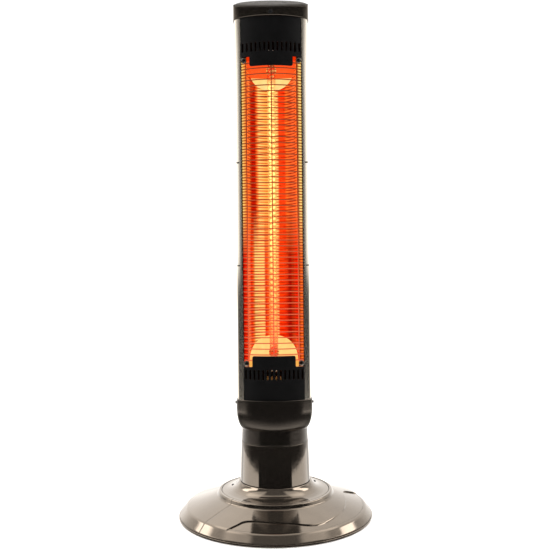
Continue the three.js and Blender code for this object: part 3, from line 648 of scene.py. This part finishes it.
def piece(node, part, sharp=38.0, material=None):
    """A fine mesh that stands for a CAD node, with that node's body and finish."""
    points, faces = part
    name = f"fine_{node}"
    mesh = bpy.data.meshes.new(name)
    mesh.from_pydata([Vector(p) * MM for p in points], [], faces)
    work = bmesh.new()
    work.from_mesh(mesh)
    bmesh.ops.remove_doubles(work, verts=work.verts, dist=1e-6)
    bmesh.ops.recalc_face_normals(work, faces=work.faces)
    work.to_mesh(mesh)
    work.free()
    mesh.shade_smooth()
    mesh.set_sharp_from_angle(angle=math.radians(sharp))
    mesh.materials.append(MATERIALS[material or SLOT_OF[node]])
    made = bpy.data.objects.new(name, mesh)
    SCENE.collection.objects.link(made)
    made.modifiers.new("even shading", "WEIGHTED_NORMAL").keep_sharp = True
    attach(made, BODY_OF[node])
    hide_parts(node)
    return made


def middle(node):
    """The centre of a CAD node's box, in millimetres."""
    low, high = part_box(node)
    return (low + high) / 2 / MM


# ---------------------------------------------------------------- base

def make_base_plate():
    profile = [(0, 2.8), (161.6, 2.8), (162.2, 0.8), (165, 0.8), (165, 4.4), (0, 4.4)]
    plain = turned(rounded(profile, [0, 0.6, 0.5, 0.9, 0.9, 0], 5), 240)
    piece("base_plate", plain, material="gunmetal_gloss")


def wave_edge():
    """The S-shaped edge of the lowered band, as a fine line of (x, y) points."""
    controls = [(-120, 156), (-116, 140), (-111, 128), (-95, 127), (-80, 131), (-64, 141), (-49, 137),
                (-30, 129), (-15, 122), (0, 119), (12, 122), (17, 135), (19, 156)]
    knots = [Vector(polar(radius, degrees)) for degrees, radius in controls]
    line = []
    for k in range(len(knots) - 1):
        p0, p1, p2 = knots[max(k - 1, 0)], knots[k], knots[k + 1]
        p3 = knots[min(k + 2, len(knots) - 1)]
        for t in spread(0, 1, 8)[:-1]:
            square = 2 * p0 - 5 * p1 + 4 * p2 - p3
            cube = 3 * p1 - p0 - 3 * p2 + p3
            bend = (p2 - p0) * t + square * t ** 2 + cube * t ** 3
            line.append(p1 + bend / 2)
    line.append(knots[-1])
    return line


WAVE_LINE = [(math.degrees(math.atan2(point.y, point.x)), point.length) for point in wave_edge()]


def wave_radius(degrees):
    """How far out the lowered band begins in this direction. Past its ends it has run out into the bevel."""
    for (before, near), (after, far) in zip(WAVE_LINE, WAVE_LINE[1:]):
        if before <= degrees <= after:
            return near + (far - near) * (degrees - before) / (after - before)
    return WAVE_LINE[0][1]


def followed(radius, wave_r):
    """Moves points of the sloping top so that a row of them runs along each side of the band's edge."""
    start, end = WAVE_SPAN
    halfway = (start + end) / 2
    edge = min(wave_r, end - 1)
    if not start < radius < end:
        return radius
    if radius < halfway:
        return start + (radius - start) * (edge - WAVE_EASE - start) / (halfway - WAVE_EASE - start)
    return end - (end - radius) * (end - edge - WAVE_EASE) / (end - halfway - WAVE_EASE)


def cover_heights():
    """The cover's outer face from the raised ring to the rim, as (radius, height) points."""
    corners = [(92.3, 43.9), (95.8, 43.9), (97.2, 42.6), (98.6, 37.6), COVER_FOOT,
               COVER_EDGE, BEVEL_HIGH, BEVEL_LOW, (163.4, 4.8), (160, 4.8)]
    outer = rounded(corners, [0, 1.2, 1.0, 1.6, 1.6, 2.0, 1.2, 0.9, 0, 0], 4)[:-1]
    start, end = WAVE_SPAN
    halfway = (start + end) / 2
    fine = [outer[0]]
    for before, after in zip(outer, outer[1:]):
        run = after[0] - before[0]
        if run > 20:
            radii = spread(start, halfway - WAVE_EASE, 20) + spread(halfway + WAVE_EASE, end, 20) + [after[0]]
        else:
            steps = max(1, math.ceil(math.dist(before, after) / 1.2))
            radii = spread(before[0], after[0], steps)[1:]
        for k, r in enumerate(radii):
            t = (r - before[0]) / run if run != 0 else (k + 1) / len(radii)
            fine.append((r, before[1] + (after[1] - before[1]) * t))
    return fine


def lowered(radius, height):
    """The height of the lowered band's face where the cover's own face is at this height."""
    ease_width, ease_rise = 2.2, 1.6
    slope = (BEVEL_HIGH[1] - BEVEL_LOW[1]) / (BEVEL_LOW[0] - BEVEL_HIGH[0])
    edge_r = BEVEL_HIGH[0] + WAVE_STEP / slope
    edge_z = BEVEL_HIGH[1] - WAVE_STEP
    if radius >= edge_r or radius <= COVER_FOOT[0]:
        return height
    if radius >= edge_r - ease_width:
        return min(height, edge_z + (edge_r - radius) * ease_rise / ease_width)
    top = COVER_FOOT[1] - WAVE_STEP
    share = (edge_r - ease_width - radius) / (edge_r - ease_width - COVER_FOOT[0])
    return min(height, edge_z + ease_rise + (top - edge_z - ease_rise) * share)


def cover_half(node, start_deg):
    """Half of the cover, from one side of the seam round to the other."""
    outer = cover_heights()
    inner = [(160, 4.8), (149.4, 14.6), (98, 31.4), (92.3, 31.4)]
    steps, seam_drop = 400, 0.25
    rings = []

    def around(radius, share):
        """The direction of a point, with half the seam's gap left at each end."""
        inset = math.degrees(math.asin(HALF_SEAM / radius))
        return start_deg + inset + (180 - 2 * inset) * share

    for k in range(steps + 1):
        share = k / steps
        wave_r = wave_radius(start_deg + 180 * share)
        ring = []
        for r, z in outer:
            shifted = followed(r, wave_r)
            r, z = shifted, z + COVER_SLOPE * (shifted - r)
            x, y = polar(r, around(r, share))
            ease = min(max((r - wave_r) / (2 * WAVE_EASE) + 0.5, 0), 1)
            z += (lowered(r, z) - z) * ease * ease * (3 - 2 * ease)
            if k in (0, steps):
                z -= seam_drop
            ring.append((x, y, z))
        for r, z in inner:
            ring.append((*polar(r, around(r, share)), z))
        rings.append(ring)
    piece(node, skin(rings, closed=False), sharp=50)


def make_base_disc():
    profile = [(91.7, 34), (91.7, 43), (90.9, 43.8), (83, 44.4), (75, 46.4), (69, 50), (64.6, 55),
               (62.2, 59.3), (58.1, 59.3), (58.1, 40.8), (88.7, 40.8), (88.7, 34)]
    radii = [0.2, 0.8, 0.8, 4, 5, 4, 3, 0.8, 0.4, 0.4, 0.4, 0.2]
    piece("base_disc", turned(rounded(profile, radii, 5), 240))


def make_column():
    profile = [(57.8, 4.7), (57.8, 59.6), (60, 59.6), (57.7, 127), (57.1, 127.6), (54.4, 127.6), (54.4, 103),
               (51, 103), (51, 99), (53.8, 95), (53.8, 4.7)]
    radii = [0.3, 0.3, 0.8, 0.6, 0.4, 0.5, 0.3, 0.5, 0.5, 1, 0.3]
    piece("column", turned(rounded(profile, radii), 240))


def screw(radius, height, shank_r, shank, washer=0.0, washer_r=0.0):
    """A domed hexagon-socket screw standing on z = 0, its head upwards, on a washer if it has one."""
    steps = 48
    levels = [(circle(shank_r, steps), -shank), (circle(shank_r, steps), 0)]
    if washer:
        edge = ((washer_r - 0.3, 0), (washer_r, 0.25), (washer_r, washer - 0.3), (washer_r - 0.4, washer))
        levels += [(circle(r, steps), z) for r, z in edge]
    for share in (0, 0.35, 0.65, 0.85, 1):
        bow = math.sqrt(max(0, 1 - share ** 2))
        levels.append((circle(radius * (0.62 + 0.38 * bow), steps), washer + height * (0.15 + 0.85 * share)))
    socket = radius * 0.45
    levels.append((hexagon(socket * 1.1, steps), washer + height))
    levels.append((hexagon(socket, steps), washer + height * 0.9))
    levels.append((hexagon(socket, steps), washer + height * 0.35))
    rings = [[(x, y, z) for x, y in outline] for outline, z in levels]
    return skin(rings, closed=False)


def make_base_details():
    for node in ("disc_screw_left", "disc_screw_right"):
        head_height = 1.9
        centre = middle(node)
        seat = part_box(node)[1].z / MM - head_height
        part = screw(2.6, head_height, 1.6, 3.5)
        piece(node, moved(part, Matrix.Translation((centre.x, centre.y, seat))))
    foot = rounded([(0, 0), (10, 0), (11, 2.5), (0, 2.5)], [0, 0.8, 0.4, 0], 3)
    for k in range(6):
        node = f"foot_{k + 1}"
        centre = middle(node)
        piece(node, moved(turned(foot, 48), Matrix.Translation((centre.x, centre.y, 0))))
    ribs = [(4.2, 0), (6.6, 0), (6.6, 2.5), (5.6, 2.5), (5.6, 5)]
    for k in range(5):
        y = 6 + 3.3 * k
        ribs += [(5.6, y), (5.0, y + 0.5), (5.0, y + 1.4), (5.6, y + 1.9)]
    ribs += [(5.6, 23.2), (5.2, 23.6), (4.2, 23.6)]
    upright = Matrix.Translation((0, 139, 11.6)) @ Matrix.Rotation(math.radians(-90), 4, "X")
    piece("cable_gland", moved(turned(ribs, 48), upright))


# ---------------------------------------------------------------- neck cup

def make_neck_cup():
    """Round at the swivel, the tower's outline at the rim, with a full curve and a crease between them."""
    crease, full, rim, proud, wall, waist = 151, 187, 203.5, 2.4, 5.5, 56.2

    def level(z, inwards=0.0):
        drop = min(max((full - z) / (full - crease), 0), 1)
        t = math.sqrt(1 - drop ** 2)
        return [(*polar((1 - t) * waist + t * (tower_radius(a) + proud) - inwards, a), z) for a in ANGLES]

    def disc(radius, z):
        return [(*polar(radius, a), z) for a in ANGLES]

    rings = [disc(53.4, 117.6), disc(53.4, 128), disc(56.4, 128), disc(56.9, 128.25), disc(57.1, 128.8)]
    neck = ((57.06, 129.6), (56.75, 137), (56.45, 144), (56.23, crease - 0.8))
    rings += [disc(radius, z) for radius, z in neck]
    rings.append(level(crease))
    for k in range(1, 19):
        rings.append(level(full - (full - crease) * math.cos(math.radians(5 * k))))
    rings += [level(z) for z in (192, 197, rim - 1.4)]
    for offset, z in ((2.3, -0.8), (1.9, -0.2), (1.4, 0), (1.0, 0), (0.7, -0.2), (0.5, -0.7)):
        rings.append(tower_ring(offset, lambda y, z=z: rim + z))
    rings += [tower_ring(0.5, lambda y: 182.5), tower_ring(-2.6, lambda y: 182.5)]
    rings += [level(z, wall) for z in (172, 166, 160, 153.5)]
    rings += [disc(49.8, 132), disc(49.8, 117.6)]
    # the cup takes the darker copy of black gloss, painted shade that dims its reflections
    piece("neck_cup", skin(rings), material="cup_gloss")
    for node, side in (("cup_screw_right", 1), ("cup_screw_left", -1)):
        centre = middle(node)
        seat = Matrix.Translation((side * (TOWER_HALF_W + proud + 0.1), centre.y, centre.z))
        turn = Matrix.Rotation(math.radians(90 * side), 4, "Y")
        piece(node, moved(screw(3.0, 1.9, 1.8, 2.5), seat @ turn))


# ---------------------------------------------------------------- casing

def make_casing():
    low, high = 183, CASING_HIGH_Z
    start, end = SIDE_SEAM_DEG + 0.3, 180 - SIDE_SEAM_DEG - 0.3
    shell = tower_wall(start, end, 0, 120)
    shell += list(reversed(tower_wall(start, end, -WALL, 120)))
    piece("rear_shell", raised(shell, low, high))
    edge_y = FRONT_CENTRE_Y - math.sqrt(FRONT_ARC_R ** 2 - RAIL_EDGE_X ** 2)
    edge = math.degrees(math.atan2(edge_y, RAIL_EDGE_X))
    right = tower_wall(edge, SIDE_SEAM_DEG, 0, 70)
    right += list(reversed(tower_wall(edge + 3.5, SIDE_SEAM_DEG, -WALL, 60)))
    right += [(51.9, -46.6), (51.9, -40), (RAIL_EDGE_X, -40)]
    radii = [0.6] + [0] * 69 + [0.4, 0.4] + [0] * 60 + [0.4, 0.4, 0.4]
    right = rounded(right, radii, 3)
    piece("right_rail", raised(right, low, high))
    piece("left_rail", raised([(-x, y) for x, y in reversed(right)], low, high))


def front_panel(node, edge, tab, end, slots):
    """A plate bent round the front, with a rounded tab towards the glow and a row of slots."""
    corners = [(-PANEL_HALF_W, end), (-PANEL_HALF_W, edge), (-TAB_HALF_W, edge), (-TAB_HALF_W, tab),
               (TAB_HALF_W, tab), (TAB_HALF_W, edge), (PANEL_HALF_W, edge), (PANEL_HALF_W, end)]
    outlines = [rounded(corners, [1.2, 1.2, 1.5, 4, 4, 1.5, 1.2, 1.2], 6)]
    for k in range(SLOT_COUNT):
        x = (k - (SLOT_COUNT - 1) / 2) * SLOT_PITCH
        box = [(x - SLOT_W / 2, slots[0]), (x + SLOT_W / 2, slots[0]),
               (x + SLOT_W / 2, slots[1]), (x - SLOT_W / 2, slots[1])]
        outlines.append(rounded(box, 1.3, 4))
    cuts = spread(-PANEL_HALF_W + 1.5, PANEL_HALF_W - 1.5, 60)
    flat = plate(outlines, PANEL_T, 0.45, cuts)
    bent = mapped(flat, lambda x, y, z: front_arc(x, y, PANEL_R - PANEL_T / 2 + z))
    made = piece(node, bent)
    points_up = tab > edge
    if points_up:
        light_up_edge(made, edge, tab)


def light_up_edge(panel, edge, tab):
    """Gives the narrow faces round a panel's tab the finish with a painted glow for the element's light."""
    panel.data.materials.append(MATERIALS["lit_edge"])
    for face in panel.data.polygons:
        centre = face.center / MM
        on_top = face.normal.z > 0.3 and centre.z > edge - 1.5 and abs(centre.x) < PANEL_HALF_W - 2
        on_side = abs(face.normal.x) > 0.6 and edge < centre.z < tab and abs(abs(centre.x) - TAB_HALF_W) < 1
        if on_top or on_side:
            face.material_index = 1


# ---------------------------------------------------------------- heater unit

def trough_curve(inset=0.0, steps=40):
    """The trough's section from its right front edge round the back to the left one, full and squarish."""
    depth = TROUGH_BACK_Y - TROUGH_FRONT_Y - inset
    points = []
    for a in spread(0, math.pi, steps):
        x = (TROUGH_HALF_W - inset) * math.copysign(abs(math.cos(a)) ** 0.9, math.cos(a))
        points.append((x, TROUGH_FRONT_Y + depth * math.sin(a) ** 0.9))
    return points


def make_reflector():
    left_ends = [(-x, y) for x, y in (TROUGH_BEND, TROUGH_LIP)]
    path = [TROUGH_LIP, TROUGH_BEND] + trough_curve() + left_ends
    offset = []
    for k, point in enumerate(path):
        before = Vector(path[max(k - 1, 0)])
        after = Vector(path[min(k + 1, len(path) - 1)])
        along = (after - before).normalized()
        offset.append((point[0] + along.y * SHEET_T, point[1] - along.x * SHEET_T))
    low, high = 262, 768
    outline = offset + list(reversed(path))
    piece("reflector", raised(outline, low, high, 0.2), sharp=50)


def end_plate(node, front_z, back_z, lip_z):
    """A plate that closes one end of the trough and leans towards its middle, with a lip along the front."""
    thickness, lip_half = 0.9, 0.4
    outline = trough_curve(0.7)
    hole = circle(TUBE_R + 1.1, 48, (0, TUBE_Y))
    flat = plate([outline, hole], thickness, 0.2)
    rise = (back_z - front_z) / (TROUGH_BACK_Y - TROUGH_FRONT_Y)
    away = thickness / 2 if front_z > back_z else -thickness / 2
    sloped = mapped(flat, lambda x, y, z: (x, y, front_z + rise * (y - TROUGH_FRONT_Y) + z + away))
    near, far = TROUGH_FRONT_Y - lip_half, TROUGH_FRONT_Y + lip_half
    edge = rounded([(-TROUGH_HALF_W, near), (TROUGH_HALF_W, near), (TROUGH_HALF_W, far),
                    (-TROUGH_HALF_W, far)], 0.3, 3)
    lip = raised(edge, min(front_z, lip_z), max(front_z, lip_z), 0.2)
    piece(node, merged(sloped, lip), material="end_plate")


def make_tube():
    profile = [(TUBE_R - 0.4, TUBE_LOW_Z), (TUBE_R, TUBE_LOW_Z + 0.6), (TUBE_R, TUBE_HIGH_Z - 0.6),
               (TUBE_R - 0.4, TUBE_HIGH_Z), (TUBE_BORE_R, TUBE_HIGH_Z), (TUBE_BORE_R, TUBE_LOW_Z)]
    piece("heating_tube", moved(turned(profile, 64), Matrix.Translation((0, TUBE_Y, 0))))
    pitch, radius, width, thickness, steps = 9.3, 4.7, 3.4, 0.3, 20
    near, far = radius - thickness / 2, radius + thickness / 2
    corners = [(near, -width / 2), (far, -width / 2), (far, width / 2), (near, width / 2)]
    ribbon = []
    for k in range(int((RIBBON_HIGH_Z - RIBBON_LOW_Z) / pitch * steps) + 1):
        turn = 2 * math.pi * k / steps
        z = RIBBON_LOW_Z + pitch * k / steps
        ribbon.append([(r * math.cos(turn), TUBE_Y + r * math.sin(turn), z + rise) for r, rise in corners])
    lead_ends = ((RIBBON_LOW_Z - 1, RIBBON_LOW_Z + 3), (RIBBON_HIGH_Z - 3, RIBBON_HIGH_Z + 1))
    leads = [swept([(0, TUBE_Y, low), (0, TUBE_Y, high)], 0.8) for low, high in lead_ends]
    piece("filament", merged(skin(ribbon, closed=False), *leads))


def make_guard():
    wires = []
    radius = GUARD_R - WIRE_R
    reach = math.asin(WIRE_REACH / GUARD_R)
    arc = [(radius * math.sin(a), FRONT_CENTRE_Y - radius * math.cos(a)) for a in spread(-reach, reach, 32)]
    for z in spread(WIRE_LOW_Z, WIRE_HIGH_Z, WIRE_ROWS - 1):
        wires.append(swept([(x, y, z) for x, y in arc], WIRE_R, 10))
    for x in UPRIGHT_XS:
        turn = math.asin(x / GUARD_R)
        radius = GUARD_R - 1.5 * WIRE_R
        x_at, y_at = radius * math.sin(turn), FRONT_CENTRE_Y - radius * math.cos(turn)
        wires.append(swept([(x_at, y_at, z) for z in spread(260, 770, 40)], WIRE_R, 10))
    piece("guard", merged(*wires))
    for k in range(4):
        node = f"guard_screw_{k + 1}"
        centre = middle(node)
        place = Matrix.Translation((centre.x, GUARD_SEAT_Y, centre.z))
        upright = Matrix.Rotation(math.radians(90), 4, "X")
        made = piece(node, moved(screw(2.8, 2.0, 1.4, 5.5, washer=1.0, washer_r=4.6), place @ upright))
        made.data.materials.append(MATERIALS["dark_steel"])
        for face in made.data.polygons:
            from_axis = math.hypot(face.center.x / MM - centre.x, face.center.z / MM - centre.z)
            if from_axis < 3.0 and face.center.y / MM < GUARD_SEAT_Y - 0.9:
                face.material_index = 1
        make_clip(f"guard_clip_{k + 1}")


def make_clip(node):
    """A small rounded plate on the rail, square to the front arc."""
    centre = middle(node)
    turn = math.atan2(centre.x, FRONT_CENTRE_Y - centre.y)
    face = rounded([(-2.2, -1.1), (2.2, -1.1), (2.2, 1.1), (-2.2, 1.1)], 0.6, 4)
    upright = Matrix.Rotation(turn, 4, "Z") @ Matrix.Rotation(math.radians(90), 4, "X")
    piece(node, moved(raised(face, -0.6, 0.6, 0.3), Matrix.Translation(centre) @ upright))


# ---------------------------------------------------------------- top

def lid_plane(y):
    """The height of the collar's sloping top edge."""
    return COLLAR_FRONT_Z + LID_SLOPE * (y - LID_LOW_Y)


def on_lid(part, x):
    """Places something built about the origin on the lid's face, its Z axis square to the face."""
    place = Matrix.Translation((x, BUTTON_Y, lid_plane(BUTTON_Y) + 3.3))
    return moved(part, place @ Matrix.Rotation(LID_TILT, 4, "X"))


def make_top():
    """The collar, the lid with its rim, and what is fixed in them."""
    def sloping(places):
        return [tower_ring(offset, lambda y, lift=lift: lid_plane(y) + lift) for offset, lift in places]

    def level(offset, z):
        return tower_ring(offset, lambda y: z)

    rings = [level(1.6, COLLAR_LOW_Z), level(2, COLLAR_LOW_Z + 0.4)]
    rings += sloping([(2, -0.5), (1.8, -0.12), (1.4, 0), (-0.8, 0), (-1.2, -0.4)])
    rings.append(level(-1.2, COLLAR_LOW_Z))
    piece("top_collar", skin(rings))
    rim = sloping([(1.3, 0.3), (1.8, 0.45), (1.8, 0.9), (1.4, 1.25), (-3.6, 2.95), (-4.4, 3.2), (-4.9, 3.0),
                   (-4.9, 0.3)])
    outline = [polar(tower_radius(a) - 5.1, a) for a in ANGLES]
    holes = []
    for x in BUTTON_XS:
        holes.append(circle(BUTTON_R + 0.3, 64, (x, BUTTON_Y), math.cos(LID_TILT)))
    flat = plate([outline, *holes], 2.8, 0.35)
    face = mapped(flat, lambda x, y, z: (x, y, lid_plane(y) + 1.85 + z))
    piece("top_lid", merged(skin(rim), face))
    centre = middle("collar_screw")
    seat = Matrix.Translation((0, -63.9, centre.z)) @ Matrix.Rotation(math.radians(90), 4, "X")
    piece("collar_screw", moved(screw(3.2, 1.1, 1.8, 4.0), seat))
    cap = [(0, -8.2), (BUTTON_R, -8.2), (BUTTON_R, 0.5), (4.6, 0.5), (3.4, 0.15), (0, 0.0)]
    cap = rounded(cap, [0, 0.4, 0.7, 0.5, 1.0, 0], 4)
    for name, x in zip(("button_power", "button_heat", "button_swing"), BUTTON_XS):
        piece(name, on_lid(turned(cap, 64), x))


# ---------------------------------------------------------------- stage, light and camera

def make_stage():
    bpy.ops.mesh.primitive_plane_add(size=30, location=(0, 0, 0))
    floor = bpy.context.object
    floor.name = "floor"
    nodes = finish("floor_paper", (0.9, 0.9, 0.9), 0.7, vary=0.01, grain=0.002, relief=0.05)
    nodes.set(Emission_Color=(1, 1, 1, 1), Emission_Strength=0.45)
    floor.data.materials.append(nodes.material)
    floor.visible_glossy = False


def make_world():
    """Soft studio surroundings: bright sides, back and floor, a dark room behind the viewer."""
    world = bpy.data.worlds.new("studio")
    SCENE.world = world
    world.use_nodes = True
    tree = world.node_tree
    tree.nodes.clear()

    def add(kind, **settings):
        node = tree.nodes.new(kind)
        for key, value in settings.items():
            setattr(node, key, value)
        return node

    def step(value, start, end, low=0.0, high=1.0):
        node = add("ShaderNodeMapRange", interpolation_type="SMOOTHSTEP")
        tree.links.new(value, node.inputs["Value"])
        for key, number in (("From Min", start), ("From Max", end), ("To Min", low), ("To Max", high)):
            node.inputs[key].default_value = number
        return node.outputs["Result"]

    def maths(operation, first, second):
        node = add("ShaderNodeMath", operation=operation)
        for value, target in ((first, node.inputs[0]), (second, node.inputs[1])):
            if isinstance(value, (int, float)):
                target.default_value = value
            else:
                tree.links.new(value, target)
        return node.outputs[0]

    def product(*values):
        result = values[0]
        for value in values[1:]:
            result = maths("MULTIPLY", result, value)
        return result

    def total(*values):
        result = values[0]
        for value in values[1:]:
            result = maths("ADD", result, value)
        return result

    split = add("ShaderNodeSeparateXYZ")
    tree.links.new(add("ShaderNodeTexCoord").outputs["Generated"], split.inputs[0])
    x, y, z = split.outputs
    side = maths("ABSOLUTE", x, 0)
    back_wall = product(step(y, -0.35, 0.3, 0.0, 1.8), step(side, 0.9, 0.6, 0.4, 1.0),
                        step(x, 0.3, -0.3, 1.0, 1.25))
    ceiling = step(z, 0.45, 0.7, 0.0, 0.25)
    softboxes = product(step(side, 0.7, 0.74), step(z, 0.46, 0.5), step(z, 0.66, 0.62), 6.5)
    overhead = product(step(side, 0.3, 0.4), step(z, 0.72, 0.78), 1.4)
    side_sheets = product(step(side, 0.72, 0.85), step(z, 0.4, 0.25), step(y, -0.5, -0.2), 1.2)
    above = total(back_wall, ceiling, softboxes, overhead, side_sheets)
    near_floor = product(step(z, -0.2, -0.205), step(z, -0.3, -0.27),
                         step(y, -0.57, -0.53), step(y, 0.85, 0.6), 3.4)
    far_floor = step(y, -0.1, 1.0, 0.02, 1.7)
    front_floor = product(step(z, -0.4, -0.8, 0.0, 1.0), step(y, 0.1, -0.2, 0.9, 1.8))
    below = maths("MAXIMUM", maths("MAXIMUM", near_floor, far_floor), front_floor)
    mixed = add("ShaderNodeMix", data_type="FLOAT")
    tree.links.new(step(z, -0.02, 0.03), mixed.inputs["Factor"])
    tree.links.new(below, mixed.inputs[2])
    tree.links.new(above, mixed.inputs[3])
    strength = maths("ADD", mixed.outputs[0], 0.01)

    studio = add("ShaderNodeBackground")
    studio.inputs["Color"].default_value = (1.0, 0.965, 0.92, 1)
    tree.links.new(strength, studio.inputs["Strength"])
    paper = add("ShaderNodeBackground")
    paper.inputs["Color"].default_value = (1, 1, 1, 1)
    paper.inputs["Strength"].default_value = 1.1
    chosen = add("ShaderNodeMixShader")
    tree.links.new(add("ShaderNodeLightPath").outputs["Is Camera Ray"], chosen.inputs["Fac"])
    tree.links.new(studio.outputs[0], chosen.inputs[1])
    tree.links.new(paper.outputs[0], chosen.inputs[2])
    tree.links.new(chosen.outputs[0], add("ShaderNodeOutputWorld").inputs["Surface"])


def make_camera():
    camera = bpy.data.cameras.new("camera")
    camera.lens = 48.0
    camera.sensor_width = 36.0
    holder = bpy.data.objects.new("camera", camera)
    SCENE.collection.objects.link(holder)
    upright = Matrix.Rotation(math.radians(90), 4, "X")
    roll = Matrix.Rotation(math.radians(CAMERA_ROLL_DEG), 4, "Z")
    holder.matrix_world = Matrix.Translation(CAMERA_PLACE) @ upright @ roll
    SCENE.camera = holder


dress_cad_nodes()
make_base_plate()
cover_half("base_cover_front", COVER_SEAM_DEG - 180)
cover_half("base_cover_rear", COVER_SEAM_DEG)
make_base_disc()
make_column()
make_base_details()
make_neck_cup()
make_casing()
front_panel("front_panel_top", edge=770, tab=754, end=CASING_HIGH_Z, slots=(778, 793))
front_panel("front_panel_bottom", edge=259, tab=277, end=184, slots=(238, 254))
make_reflector()
end_plate("reflector_end_top", front_z=765.5, back_z=724, lip_z=774)
end_plate("reflector_end_bottom", front_z=268, back_z=308, lip_z=256)
make_tube()
make_guard()
make_top()
make_stage()
make_world()
make_camera()
SCENE.view_settings.view_transform = "Standard"
